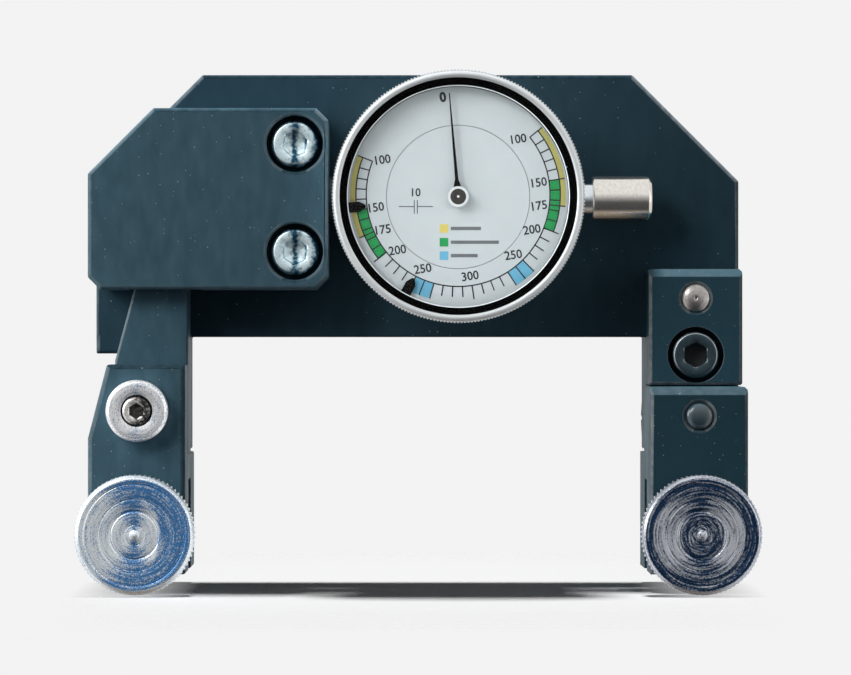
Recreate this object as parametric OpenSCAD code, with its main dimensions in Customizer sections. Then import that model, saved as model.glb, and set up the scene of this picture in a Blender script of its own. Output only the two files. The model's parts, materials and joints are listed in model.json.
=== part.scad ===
// Tension meter for bandsaw blades.
// Two clamps grip the blade a set distance apart. The right clamp is fixed to the frame. The left clamp
// hangs on a lever that pushes the plunger of a dial indicator as the blade stretches.
// X runs along the blade, Y away from the user and Z up. The origin lies on the blade's seat, midway
// between the clamps, at the height of the clamp screws. Sizes are in millimetres.

/* [Layout] */
// Distance between the two clamp screw axes
gauge_len = 100; // [96:1:120]
// Height of the lever pivot above the clamp screws
pivot_h = 21.8; // [21:0.2:24]
// Height of the indicator's plunger above the clamp screws
plunger_h = 60; // [58:0.2:66]
// Dial axis, to the right of the middle
dial_x = 7.2; // [4:0.2:10]
// Plunger axis, in front of the frame's face
plunger_off = 7; // [6.6:0.1:8]

/* [Frame] */
// Frame plate thickness
frame_t = 13; // [11:0.5:18]
// Frame's face, behind the blade's seat
frame_set = 1; // [0.8:0.1:2]
// Frame's top edge above the plunger
frame_up = 23.1; // [22:0.1:30]
// Frame's arch below the plunger
arch_down = 25.1; // [22:0.1:26]
// Size of the slanted top corners
corner_cut = 19.5; // [12:0.5:24]
// Inner side of a leg, from the clamp screw
leg_in = 8; // [7.4:0.2:8.2]
// Outer side of a leg, from the clamp screw
leg_out = 9; // [8.4:0.2:11]
// Outer side of the left leg's end, from the clamp screw
leg_end_out = 4; // [3.6:0.2:4.4]
// Height of the step on the left leg, below the arch
leg_step = 3; // [2:0.2:5]
// End of the legs below the pivot
leg_down = 7.6; // [7.2:0.1:9]
// Bevel along machined edges
edge_cut = 0.5; // [0.3:0.1:1.2]
// Bevel along the sides of the bracket and the fixed jaw
side_cut = 0.5; // [0.3:0.1:1]
// Bevel along the top edge of the bracket and the fixed jaw
top_cut = 1.4; // [0.8:0.1:2]
// Corner cut of an edge that stays square
square_cut = 0.01; // [0.01:0.01:0.05]

/* [Clamp jaws] */
// Wall that carries the clamp screw
jaw_wall = 11; // [8:0.5:14]
// Blade slot width in front of the seat
slot_w = 7; // [6.8:0.1:8]
// Wall behind the seat
jaw_back = 12; // [9:0.5:13]
// Inner side of a jaw, from the clamp screw
jaw_in = 8.4; // [8.2:0.1:9.4]
// Outer side of a jaw, from the clamp screw
jaw_out = 9; // [8.4:0.2:11]
// Bottom of a jaw below the clamp screw
jaw_down = 7.5; // [6:0.1:9]
// Top of the blade slot above the clamp screw
slot_up = 9; // [7:0.2:10]
// Top of the fixed jaw above the pivot's height
fixed_jaw_up = 4.2; // [4:0.2:5]
// Top of the moving jaw above the pivot
moving_jaw_up = 8.2; // [7.8:0.2:9]
// Start of the moving jaw's slant below the pivot
slant_down = 5; // [3:0.2:7]
// How far the moving jaw's side slants in
slant_in = 3.4; // [2:0.2:3.6]
// Anvil button diameter
anvil_d = 8; // [6:0.2:9]
// Anvil button thickness
anvil_t = 5; // [3:0.2:7]
// How far an anvil stands out of its wall
anvil_proud = 0.2; // [0.1:0.1:0.5]
// Gap between a leg's end and the jaw below it
shelf_gap = 0.5; // [0.3:0.1:1]
// Cut of the fixed jaw's top corners
fixed_jaw_nick = 0.5; // [0.2:0.1:1.5]
// Fixed jaw's dowel below the pivot's height
jaw_dowel_down = 1; // [0.2:0.1:2]

/* [Clamp screws] */
// Clamp screw thread diameter
screw_d = 6; // [5:0.1:7]
// Clamp screw thread pitch
screw_pitch = 1; // [0.8:0.05:1.25]
// Knurled head diameter
head_d = 21.4; // [18:0.2:24]
// Knurled head thickness
head_t = 5; // [4:0.2:7]
// Gap behind the head with the clamp open
head_gap = 4.7; // [4.6:0.1:7]
// Pressure pad diameter
pad_d = 9.6; // [7:0.2:12]
// Pressure pad thickness
pad_t = 2.2; // [1.8:0.1:2.4]
// Screw tip diameter inside the pad
tip_d = 3; // [2:0.1:4]
// Depth of the pad's socket
tip_len = 1.4; // [1:0.1:1.6]
// Pad clear of the slot's front wall with the clamp open
pad_set = 0.2; // [0.1:0.05:0.3]
// Shoulder of the thread, in front of the pad
pad_gap = 0.1; // [0.05:0.05:0.2]
// Bevel around the pad
pad_lip = 0.4; // [0.2:0.1:0.6]
// Bevel around the knurled head
head_lip = 0.9; // [0.4:0.1:1.2]
// Plain shank between the head and the first thread
thread_start = 0.2; // [0.1:0.1:0.6]

/* [Lever and pivot] */
// Lever arm thickness
arm_t = 9.7; // [8:0.1:10]
// Outer side of the arm's foot, from the pivot
arm_out = 4.8; // [4.4:0.1:5]
// Slant of the arm's outer side, in degrees
arm_slant = 15; // [10:0.5:16]
// Top of the arm above the plunger
arm_up = 6.6; // [4:0.2:8]
// Pivot pin diameter
pin_d = 5; // [4:0.1:6]
// Bronze bush diameter
bush_d = 8; // [7:0.1:8.4]
// Collar diameter
collar_d = 11.1; // [9:0.1:13]
// Collar thickness
collar_t = 3.5; // [2:0.1:5]
// Pivot pin's end in front of the collar
pin_proud = 0.7; // [0.2:0.1:2]
// Key size of the pivot pin's socket
pin_key = 2.5; // [2:0.1:2.8]
// Height of the travel stop above the pivot
stop_up = 28.4; // [27:0.2:30]
// Stop pin diameter
stop_d = 3; // [2:0.1:3.6]
// Contact button diameter
button_d = 5; // [3:0.1:6]
// Contact button thickness
button_t = 3; // [1.5:0.1:3.6]
// Plunger travel between the lever's stops
max_push = 0.75; // [0.6:0.05:0.8]
// Stop pin, from the pivot towards the middle
stop_in = 4.2; // [3.8:0.1:4.6]
// Start of the arm's slant above the moving jaw
arm_bend_up = 0.7; // [0.4:0.1:1.2]
// Gap between the collar and the moving jaw
collar_gap = 0.2; // [0.1:0.05:0.4]
// Bevel around the collar
collar_lip = 0.4; // [0.2:0.1:0.8]

/* [Cover] */
// Cover thickness
cover_t = 15; // [14.6:0.2:18]
// Cover's top edge above the plunger
cover_up = 16.1; // [16:0.1:18]
// Cover's bottom edge below the plunger
cover_down = 16.5; // [15:0.1:17]
// Cover's outer side, from the clamp screw
cover_out = 9.35; // [8.2:0.05:10]
// Gap between the cover and the bezel
cover_gap = 0.7; // [0.6:0.1:3]
// Size of the slanted corner
cover_corner = 11.8; // [8:0.2:14]
// Size of the other corners
cover_nick = 2.2; // [1:0.1:3]
// Cover screws, from the cover's right edge
cover_screw_in = 6; // [6:0.1:7]
// Cover screws above and below the plunger
cover_screw_up = 9.7; // [9.6:0.1:10.4]
// Depth of the cover screws' heads below the face
cover_sink = 1.2; // [0.4:0.1:2]
// Bevel around the cover screws' counterbores
cover_screw_rim = 0.3; // [0.1:0.1:0.3]
// Room around the lever inside the cover
pocket_gap = 1.3; // [1:0.1:1.6]
// Stem clamp's side wall beside the stem
saddle_wall = 0.1; // [0.05:0.05:0.2]
// Stem clamp's edge behind the stem's axis
saddle_drop = 1.2; // [0.8:0.1:1.6]
// Turn of the cover screws' sockets, in degrees
cover_screw_turn = 15; // [0:5:30]

/* [Bracket] */
// Bracket thickness
bracket_t = 8; // [7:0.2:10]
// Bracket height
bracket_h = 21.1; // [20:0.1:24]
// Gap between the bracket and the fixed jaw
bracket_gap = 0.2; // [0.1:0.1:0.6]
// Bracket screw above the bracket's lower edge
bracket_screw_up = 5.5; // [5.5:0.1:6.4]
// Bracket dowel below the bracket's top edge
bracket_dowel_down = 5.3; // [4:0.1:5.4]
// Depth of the bracket screw's head below the face
bracket_sink = 0.3; // [0.1:0.1:0.6]
// Cut of the bracket's lower corners
bracket_nick = 0.3; // [0.2:0.1:1]
// Cut of the bracket's top corners
bracket_corner = 0.5; // [0.2:0.1:1.2]
// Dowel diameter
dowel_d = 5; // [4:0.1:6]
// Bevel around the dowel holes
dowel_rim = 0.5; // [0.3:0.1:0.8]
// Height of a dowel's domed end
dowel_dome = 0.7; // [0.3:0.1:1.2]
// Dowel depth in the piece that holds it
dowel_depth = 8; // [5:0.5:10]

/* [Fasteners] */
// Large cap screw thread diameter
m5_d = 5; // [4:0.1:5.4]
// Large cap screw head diameter
m5_head_d = 8.5; // [8:0.1:9]
// Large cap screw head height
m5_head_h = 5; // [4:0.1:5.4]
// Large cap screw key size
m5_key = 4; // [3:0.1:4.4]
// Counterbore diameter for the large screws
m5_bore_d = 10.2; // [9.4:0.1:10.6]
// Thread depth of the large screws in the frame
m5_grip = 11; // [7:0.5:11.5]
// Jaw screw thread diameter
m4_d = 4; // [3:0.1:4.4]
// Jaw screw head diameter
m4_head_d = 7; // [6:0.1:7.4]
// Jaw screw head height
m4_head_h = 4; // [3:0.1:4.4]
// Spacing of the two jaw screws
m4_span = 8.6; // [8:0.1:9]
// Thread depth of the jaw screws
m4_grip = 8; // [5:0.5:9]
// Lever screw thread diameter
m3_d = 3; // [2:0.1:3.4]
// Lever screw head diameter
m3_head_d = 5.5; // [5:0.1:5.8]
// Lever screw head height
m3_head_h = 3; // [2:0.1:3.4]
// Lever screws from the pivot, towards the middle
m3_in = 5; // [4.9:0.05:5.2]
// Lever screws above and below the pivot
m3_up = 5.3; // [5.2:0.05:5.4]
// Thread depth of the lever screws
m3_grip = 6; // [4:0.5:7]
// Room around a recessed screw head
head_room = 0.2; // [0.1:0.05:0.3]

/* [Indicator case] */
// Case diameter
case_d = 40; // [38:0.5:42]
// Case wall around the movement
case_wall = 2; // [1.5:0.1:2.6]
// Shoulder that carries the movement
case_shoulder = 1; // [0.6:0.1:1.6]
// Case in front of the plunger axis
case_front = 9.5; // [9.3:0.1:11]
// Case behind the plunger axis
case_rear = 5.6; // [5:0.1:5.6]
// Back plate thickness
back_t = 1.1; // [0.7:0.1:1.1]
// Back plate screw diameter
back_screw_d = 1.4; // [1:0.1:1.6]
// Back plate screw depth in the case
back_screw_len = 2.8; // [2:0.1:3.2]
// Back plate screw head thickness
back_head_t = 0.5; // [0.3:0.05:0.6]
// Stem diameter
stem_d = 8; // [7:0.1:8.4]
// Stem length outside the case
stem_len = 17.2; // [12:0.2:18]
// Neck diameter under the end cap
neck_d = 6; // [5:0.1:6.4]
// Neck length outside the case, up to the cap
neck_len = 4.5; // [3:0.1:8]
// Thread length of the neck inside the cap
neck_thread = 3; // [2:0.1:4]
// End cap diameter
cap_d = 8.3; // [7.6:0.1:10]
// End cap length
cap_len = 10.7; // [9:0.1:14]
// End cap wall at its closed end
cap_wall = 1; // [0.6:0.1:1.5]
// Bevel around the end cap
cap_lip = 0.6; // [0.3:0.1:1]
// Room around the plunger inside the end cap
cap_room = 0.5; // [0.3:0.1:0.8]
// Gap between the case's bore and the ends of the stem and neck
stem_gap = 0.1; // [0.05:0.05:0.2]

/* [Bezel and dial] */
// Wall of the bezel outside the case
bezel_wall = 2.6; // [1.8:0.1:3]
// Bezel length
bezel_len = 7.2; // [7:0.1:9]
// Bezel length over the case
bezel_grip = 1.8; // [1.6:0.1:2.4]
// Bezel's rim around the crystal
rim_w = 1.5; // [1.2:0.1:1.8]
// Bezel's rim thickness
rim_t = 0.8; // [0.5:0.1:1.2]
// Bezel's wall around the crystal
crystal_wall = 1.15; // [0.9:0.05:1.3]
// Crystal thickness
crystal_t = 1.4; // [1:0.1:1.6]
// Width of the dark ring under the crystal
gasket_w = 1.5; // [1.2:0.1:2]
// Dark ring thickness
gasket_t = 0.6; // [0.4:0.1:0.8]
// Diameter of the fixed dial inside the turning scale
face_d = 25.6; // [20:0.2:28]
// Thickness of the dial and the scale
face_t = 0.4; // [0.3:0.05:0.5]
// Wire of the ring spring that holds the bezel
ring_wire_d = 0.6; // [0.4:0.05:0.6]
// Ring spring behind the case's front edge
ring_in = 0.85; // [0.6:0.05:1]
// Depth of the ring spring's grooves beyond its wire
ring_deep = 0.1; // [0.05:0.05:0.2]
// Bevel around the bezel
bezel_lip = 0.3; // [0.1:0.1:0.5]
// Gap between the scale and the case
ledge_gap = 0.1; // [0.05:0.05:0.2]
// Wall of the dark ring beside the scale
gasket_wall = 0.3; // [0.2:0.05:0.5]
// Diameter of the fixed dial's feet
foot_d = 1.6; // [1:0.1:2]
// Pointer length
pointer_len = 18.6; // [14:0.2:18.8]
// Pointer width beside its eye
pointer_w = 1; // [0.6:0.05:1.4]
// Pointer thickness
pointer_t = 0.3; // [0.2:0.05:0.35]
// Pointer angle at rest, clockwise from the top, in degrees
pointer_rest = -4.9; // [-10:0.1:10]
// Pointer hub diameter
hub_d = 3.7; // [2.6:0.1:4.4]
// Pointer hub height
hub_t = 0.6; // [0.4:0.05:0.65]
// Pointer's wall around its arbor
eye_wall = 0.8; // [0.4:0.1:1]
// Pointer cap thickness
hub_cap_t = 0.2; // [0.1:0.05:0.3]
// Left limit marker's angle, clockwise from the top, in degrees
left_marker_at = -95.7; // [-130:0.1:-60]
// Right limit marker's angle, clockwise from the top, in degrees
right_marker_at = -151.4; // [-175:0.1:-145]
// Limit marker thickness
marker_t = 0.4; // [0.3:0.05:0.45]
// Gap between a limit marker and the scale
marker_gap = 0.35; // [0.3:0.05:0.4]
// Limit marker's clip inside the crystal's edge
marker_in = 0.4; // [0.35:0.05:0.6]
// Limit marker's clip width
clip_w = 0.9; // [0.6:0.1:1.2]
// Limit marker reach towards the dial axis
marker_reach = 4.4; // [3:0.1:6]
// Limit marker width
marker_w = 1.85; // [1:0.05:2.4]

/* [Movement] */
// Plunger diameter
plunger_d = 4; // [3.6:0.1:4.4]
// Tooth pitch of the rack
tooth_pitch = 0.5; // [0.48:0.01:0.52]
// Teeth on each pinion
pinion_teeth = 10; // [10:1:10]
// Teeth on each wheel
wheel_teeth = 100; // [90:1:104]
// Room between a wheel's teeth and the case
wheel_room = 1.16; // [0.8:0.02:2]
// Height of a tooth above its pitch line, in modules
tooth_high = 0.8; // [0.7:0.05:0.9]
// Depth of a tooth below its pitch line, in modules
tooth_low = 1.15; // [1.1:0.05:1.25]
// Wheel thickness
wheel_t = 0.4; // [0.3:0.05:0.6]
// Pinion length in the wheel train
pinion_len = 1.2; // [1:0.1:1.6]
// Arbor diameter
arbor_d = 1; // [0.8:0.05:1]
// Movement plate thickness
plate_t = 1; // [0.7:0.1:1.2]
// Depth of the rack's pitch line below the plunger's top
rack_depth = 0.8; // [0.7:0.05:0.9]
// Rack length
rack_len = 6; // [5:0.5:8]
// Guide pin diameter
guide_d = 1.2; // [0.8:0.1:1.6]
// Guide pin, to the right of the dial axis
guide_x = 11; // [9:0.5:12]
// Return spring wire diameter
spring_wire_d = 0.4; // [0.3:0.05:0.5]
// Return spring turns
spring_turns = 4.5; // [3:0.5:5.5]
// Contact ball diameter
ball_d = 3; // [2:0.1:3.6]
// Contact tip's neck behind its ball
tip_neck = 0.6; // [0.4:0.1:1]
// Contact tip's thread length in the plunger
tip_thread = 2.5; // [1.5:0.1:3]
// Room behind the contact tip's thread
tip_room = 0.1; // [0.05:0.05:0.3]
// Half length of the plunger guide on the back plate
guide_half = 3; // [2.4:0.1:4]
// Wall of the plunger guide
guide_wall = 1; // [0.6:0.1:1.4]
// Gap between the plunger and its guide
guide_gap = 1.2; // [0.8:0.1:1.6]
// Floor of the guide's slot in front of the back plate
guide_floor = 0.2; // [0.1:0.05:0.4]
// Gap between the guide pin's end and the back plate
guide_end = 0.6; // [0.4:0.1:1]
// Gap between the case's front edge and the front plate
plate_in = 1.1; // [0.8:0.1:1.4]
// Gap between the rear plate and the plunger
plate_gap = 1.2; // [0.8:0.1:1.4]
// Gap between the wheels and the rear plate
wheel_in = 1.4; // [1:0.1:1.6]
// Gap between an arbor's end and the plate's face
arbor_end = 0.1; // [0.05:0.05:0.2]
// Gap between the rack pinion and the plunger's sides
pinion_in = 0.2; // [0.1:0.05:0.4]
// Hairspring strip width
hair_t = 0.4; // [0.3:0.05:0.5]
// Hairspring strip thickness
hair_w = 0.15; // [0.1:0.01:0.2]
// Hairspring turns
hair_turns = 4.75; // [3.75:1:5.75]
// Radius of the hairspring's hub
hair_inner = 1.2; // [1:0.1:1.5]
// Distance of the hairspring's stud from its arbor
hair_outer = 5; // [4:0.1:5.4]
// Gap between the hairspring and the take-up wheel
hair_gap = 0.5; // [0.3:0.05:0.7]
// Hairspring stud diameter
stud_d = 1; // [0.6:0.1:1.2]
// Pillar diameter
pillar_d = 2.4; // [1.6:0.1:3]
// Pillar circle radius
pillar_at = 15.5; // [15:0.1:15.8]

/* [Fits] */
// Clearance of a seated piece
fit_gap = 0.02; // [0.01:0.01:0.04]
// Clearance of a running piece
run_gap = 0.05; // [0.03:0.01:0.08]
// Clearance between moving faces
side_gap = 0.3; // [0.2:0.05:0.4]

/* [Hidden] */
$fn = 96;
over = 1;
steel = [0.66, 0.67, 0.69];
bright = [0.82, 0.83, 0.85];
dark = [0.16, 0.17, 0.18];
paint = [0.17, 0.24, 0.28];
brass = [0.78, 0.63, 0.32];

left_x = -gauge_len / 2;
right_x = gauge_len / 2;
frame_y0 = frame_set;
frame_y1 = frame_set + frame_t;
arch_z = plunger_h - arch_down;
leg_root = arch_z + leg_in;
leg_end = pivot_h - leg_down;

jaw_y0 = -slot_w - jaw_wall;
shelf_z = leg_end - shelf_gap;
fixed_top = pivot_h + fixed_jaw_up;
moving_top = pivot_h + moving_jaw_up;
m4_z = (shelf_z + fixed_top) / 2;

arm_y1 = frame_y0 - side_gap;
arm_y0 = arm_y1 - arm_t;
arm_bend = moving_top + arm_bend_up;
arm_top = plunger_h + arm_up;
arm_lean = (arm_top - arm_bend) * tan(arm_slant);
contact_x = left_x + jaw_in;
lever_len = plunger_h - pivot_h;
stop_move = max_push * stop_up / lever_len;
stop_x = left_x + stop_in;
stop_z = pivot_h + stop_up;
collar_y1 = jaw_y0 - collar_gap;
collar_y0 = collar_y1 - collar_t;

cover_y0 = frame_y0 - cover_t;
cover_x0 = left_x - cover_out;
cover_z0 = plunger_h - cover_down;
cover_z1 = plunger_h + cover_up;
cover_screw_seat = cover_y0 + cover_sink + m5_head_h;

jaw_dowel_x = right_x + (jaw_out - jaw_in) / 2;
bracket_x = right_x + (leg_out - leg_in) / 2;
bracket_z0 = fixed_top + bracket_gap;
bracket_y0 = frame_y0 - bracket_t;
bracket_screw_z = bracket_z0 + bracket_screw_up;
bracket_screw_seat = bracket_y0 + bracket_sink + m5_head_h;
bracket_dowel_z = bracket_z0 + bracket_h - bracket_dowel_down;

pad_y0 = -slot_w + pad_set;
thread_end = pad_y0 - pad_gap;
thread_r = screw_d / 2 - run_gap;
head_y1 = jaw_y0 - head_gap;
head_y0 = head_y1 - head_t;

axis_y = frame_y0 - plunger_off;
plunger_r = plunger_d / 2;
case_r = case_d / 2;
case_y0 = axis_y - case_front;
case_y1 = axis_y + case_rear;
case_bore = case_r - case_wall;
case_seat = case_bore - case_shoulder;
back_y1 = case_y1 + back_t;
back_screw_at = (case_r + case_seat) / 2;
back_head_r = back_screw_d * 0.8;
stem_x0 = dial_x - case_r - stem_len;
stem_x1 = dial_x - case_bore - stem_gap;
neck_x0 = dial_x + case_bore + stem_gap;
cap_x0 = dial_x + case_r + neck_len;
cap_x1 = cap_x0 + cap_len;
cap_end = cap_x1 - cap_wall;

saddle_half = stem_d / 2 + saddle_wall;

bezel_r = case_r + bezel_wall;
cover_x1 = dial_x - bezel_r - cover_gap;
cover_screw_x = cover_x1 - cover_screw_in;
ledge_y = case_y0 - ledge_gap;
bezel_y1 = ledge_y + bezel_grip;
bezel_y0 = bezel_y1 - bezel_len;
crystal_y0 = bezel_y0 + rim_t;
crystal_y1 = crystal_y0 + crystal_t;
recess_r = bezel_r - crystal_wall;
crystal_r = recess_r - run_gap;
rim_r = bezel_r - rim_w;
face_y0 = ledge_y - face_t;
window_r = crystal_r - gasket_w;
ring_y = case_y0 + ring_in;
ring_room = ring_wire_d / 2 + run_gap;
marker_y1 = face_y0 - marker_gap;
marker_y0 = marker_y1 - marker_t;
marker_r = crystal_r - marker_in;
pointer_y1 = marker_y0 - side_gap;
pointer_y0 = pointer_y1 - pointer_t;
hub_y0 = pointer_y0 - hub_t;

front_plate_y0 = case_y0 + plate_in;
front_plate_y1 = front_plate_y0 + plate_t;
rear_plate_y1 = axis_y - plunger_r - plate_gap;
rear_plate_y0 = rear_plate_y1 - plate_t;
wheel_y1 = rear_plate_y0 - wheel_in;
wheel_y0 = wheel_y1 - wheel_t;
wheel_mid = (wheel_y0 + wheel_y1) / 2;
hair_y1 = wheel_y0 - hair_gap;
hair_y0 = hair_y1 - hair_t;
hair_end = hair_turns * 360;

tooth_module = tooth_pitch / PI;
tooth_up = tooth_high * tooth_module;
tooth_down = tooth_low * tooth_module;
wheel_module = (case_bore - wheel_room) / (wheel_teeth + pinion_teeth / 2 + tooth_high);
wheel_r = wheel_teeth * wheel_module / 2;
rack_line = plunger_r - rack_depth;
arbor_up = rack_line + pinion_teeth * tooth_module / 2;
arbor_away = wheel_r + pinion_teeth * wheel_module / 2;
arbor_side = sqrt(arbor_away * arbor_away - arbor_up * arbor_up);
arbor_z = plunger_h + arbor_up;
rack_arbor_x = dial_x - arbor_side;
take_up_x = dial_x + arbor_side;
mesh_angle = atan2(-arbor_up, arbor_side);
pinion_step = 360 / pinion_teeth;
wheel_step = 360 / wheel_teeth;
centre_phase = mesh_angle + 180;
rack_wheel_phase = mesh_angle + wheel_step / 2;
take_up_mesh = 180 - mesh_angle;
take_up_lag = (take_up_mesh + 180 - centre_phase) % pinion_step;
take_up_phase = take_up_mesh + take_up_lag * pinion_teeth / wheel_teeth + wheel_step / 2;

tip_x = contact_x + run_gap + ball_d / 2;
plunger_x0 = tip_x + ball_d / 2 + tip_neck;
plunger_x1 = cap_x0 + neck_thread + side_gap;
spring_r = plunger_r - spring_wire_d / 2;

// Outline in the XZ plane, drawn out along Y
module slab(outline, y0, y1) {
    translate([0, y1, 0]) rotate([90, 0, 0]) linear_extrude(y1 - y0) polygon(outline);
}

// Box between two corners
module block(low, high) {
    translate(low) cube(high - low);
}

// Round bar along Y
module rod_y(x, z, r, y0, y1) {
    translate([x, y0, z]) rotate([-90, 0, 0]) cylinder(h = y1 - y0, r = r);
}

// Round bar along X, on the plunger's axis
module rod_x(r, x0, x1) {
    translate([x0, axis_y, plunger_h]) rotate([0, 90, 0]) cylinder(h = x1 - x0, r = r);
}

// Turned piece about an axis along Y, from points of radius and y
module turned_y(x, z, profile) {
    translate([x, 0, z]) rotate([-90, 0, 0]) rotate_extrude() polygon(profile);
}

// Turned piece about the plunger's axis, from points of radius and x
module turned_x(profile) {
    translate([0, axis_y, plunger_h]) rotate([0, 90, 0]) rotate_extrude() polygon(profile);
}

// Flat ring about an axis along Y
module washer_y(x, z, r0, r1, y0, y1) {
    turned_y(x, z, [[r0, y0], [r1, y0], [r1, y1], [r0, y1]]);
}

// Tube about the plunger's axis
module tube_x(r0, r1, x0, x1) {
    turned_x([[r0, x0], [r1, x0], [r1, x1], [r0, x1]]);
}

// Crossing of two lines, each from a point and a direction
function crossing(p, u, q, v) = p + u * cross(v, q - p) / cross(v, u);

// Outward shift of the side from p to q of an outline that runs counterclockwise
function side_shift(p, q, d) = d * [q.y - p.y, p.x - q.x] / norm(q - p);

// Convex outline moved in by a distance
function moved_in(outline, d) = let (n = len(outline)) [
    for (i = [0 : n - 1])
        let (a = outline[(i + n - 1) % n], b = outline[i], c = outline[(i + 1) % n])
        crossing(b - side_shift(a, b, d), b - a, b - side_shift(b, c, d), c - b)
];

// Convex plate with bevelled front and back edges
module bevelled_slab(outline, y0, y1, bevel = edge_cut) {
    hull() {
        slab(outline, y0 + bevel, y1 - bevel);
        slab(moved_in(outline, bevel), y0, y1);
    }
}

// Rectangle outline with its corners cut: bottom left, bottom right, top right and top left
function cut_rect(x0, x1, z0, z1, cuts) = [
    [x0 + cuts[0], z0], [x1 - cuts[1], z0],
    [x1, z0 + cuts[1]], [x1, z1 - cuts[2]],
    [x1 - cuts[2], z1], [x0 + cuts[3], z1],
    [x0, z1 - cuts[3]], [x0, z0 + cuts[0]]
];

// Plain rectangle outline
function rect(x0, x1, z0, z1) = [[x0, z0], [x1, z0], [x1, z1], [x0, z1]];

// Socket head screw that points along Y, with its head towards the user
module cap_screw(x, z, d, head_d, head_h, key, seat_y, tip_y, turn = 0) {
    head_y = seat_y - head_h;
    lip = head_h * 0.06;
    difference() {
        turned_y(x, z, [
            [0, head_y], [head_d / 2 - lip, head_y], [head_d / 2, head_y + lip],
            [head_d / 2, seat_y], [d / 2, seat_y], [d / 2, tip_y], [0, tip_y]
        ]);
        translate([x, head_y + head_h / 2, z])
            rotate([90, turn, 0])
            cylinder(h = head_h, d = key / cos(30), $fn = 6);
    }
}

// Socket head screw that points towards the user, with its head at the back
module back_screw(x, z, d, head_d, head_h, key, seat_y, tip_y) {
    mirror([0, 1, 0]) cap_screw(x, z, d, head_d, head_h, key, -seat_y, -tip_y);
}

// Dowel along Y with a domed front end
module domed_dowel(x, z, face_y, end_y) {
    dowel_r = dowel_d / 2;
    dome_r = (dowel_r * dowel_r + dowel_dome * dowel_dome) / (2 * dowel_dome);
    half = asin(dowel_r / dome_r);
    steps = 8;
    dome = [for (a = [0 : half / steps : half]) [dome_r * sin(a), face_y - dowel_dome + dome_r * (1 - cos(a))]];
    turned_y(x, z, concat(dome, [[dowel_r, end_y], [0, end_y]]));
}

// Frame: an arch-shaped plate with a short left leg and a full right leg
function frame_bridge() = cut_rect(
    left_x - leg_out, right_x + leg_out, arch_z, plunger_h + frame_up,
    [square_cut, square_cut, corner_cut, corner_cut]);

module frame() {
    step_z = arch_z - leg_step;
    color(paint)
    difference() {
        union() {
            bevelled_slab(frame_bridge(), frame_y0, frame_y1);
            bevelled_slab(rect(right_x - leg_in, right_x + leg_out, leg_end, leg_root), frame_y0, frame_y1);
            bevelled_slab(rect(left_x - leg_out, left_x + leg_in, step_z, leg_root), frame_y0, frame_y1);
            bevelled_slab(rect(left_x - leg_end_out, left_x + leg_in, leg_end, leg_root), frame_y0, frame_y1);
        }
        rod_y(left_x, pivot_h, pin_d / 2 + fit_gap, frame_y0 - over, frame_y1 + over);
        rod_y(stop_x, stop_z, stop_d / 2 + fit_gap, frame_y0 - over, frame_y0 + dowel_depth);
        rod_y(bracket_x, bracket_dowel_z, dowel_d / 2 + fit_gap, frame_y0 - over, frame_y0 + dowel_depth);
        rod_y(bracket_x, bracket_screw_z, m5_d / 2 + fit_gap, frame_y0 - over, frame_y0 + m5_grip);
        for (side = [-1, 1])
            rod_y(cover_screw_x, plunger_h + side * cover_screw_up, m5_d / 2 + fit_gap,
                frame_y0 - over, frame_y0 + m5_grip);
        for (side = [-1, 1]) {
            rod_y(right_x + side * m4_span / 2, m4_z, m4_d / 2 + fit_gap, frame_y0 - over, frame_y1 + over);
            rod_y(right_x + side * m4_span / 2, m4_z, m4_head_d / 2 + head_room,
                frame_y1 - m4_head_h - head_room, frame_y1 + over);
        }
    }
}

// Cover over the lever's end, which also clamps the indicator's stem
module cover() {
    cuts = [cover_nick, cover_nick, cover_nick, cover_corner];
    color(paint)
    difference() {
        bevelled_slab(cut_rect(cover_x0, cover_x1, cover_z0, cover_z1, cuts), cover_y0, frame_y0);
        slab(lever_pocket(), arm_y0 - pocket_gap, frame_y0 + over);
        block([contact_x, axis_y - plunger_r - pocket_gap, plunger_h - plunger_r - pocket_gap],
            [stem_x0 + fit_gap, frame_y0 + over, plunger_h + plunger_r + pocket_gap]);
        rod_x(stem_d / 2 + fit_gap, stem_x0, cover_x1 + over);
        block([stem_x0, axis_y, plunger_h - saddle_half - run_gap],
            [cover_x1 + over, frame_y0 + over, plunger_h + saddle_half + run_gap]);
        for (side = [-1, 1]) {
            screw_z = plunger_h + side * cover_screw_up;
            rod_y(cover_screw_x, screw_z, m5_bore_d / 2, cover_y0 - over, cover_screw_seat);
            hole_mouth(cover_screw_x, screw_z, m5_bore_d / 2, cover_screw_rim, cover_y0);
            rod_y(cover_screw_x, screw_z, m5_d / 2 + fit_gap, cover_y0, frame_y0 + over);
        }
    }
}

// Space for the lever behind the cover, open at the cover's lower edge
function lever_pocket() = let (
    low_z = cover_z0 - over,
    high_z = arm_top + pocket_gap,
    wall = pocket_gap / cos(arm_slant),
    foot = left_x - arm_out - wall,
    right = contact_x + max_push * (arm_top - pivot_h) / lever_len + pocket_gap
) [
    [foot + (low_z - arm_bend) * tan(arm_slant), low_z], [right, low_z],
    [right, high_z], [foot + (high_z - arm_bend) * tan(arm_slant), high_z]
];

module cover_screws() {
    color(bright)
    for (side = [-1, 1])
        cap_screw(cover_screw_x, plunger_h + side * cover_screw_up, m5_d, m5_head_d, m5_head_h, m5_key,
            cover_screw_seat, frame_y0 + m5_grip - side_gap, cover_screw_turn * side);
}

// Loose half of the stem clamp, between the stem and the frame
module stem_saddle() {
    color(steel)
    difference() {
        block([stem_x0 + side_gap, axis_y + saddle_drop, plunger_h - saddle_half],
            [cover_x1 - side_gap, frame_y0, plunger_h + saddle_half]);
        rod_x(stem_d / 2 + fit_gap, stem_x0, cover_x1);
    }
}

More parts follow.
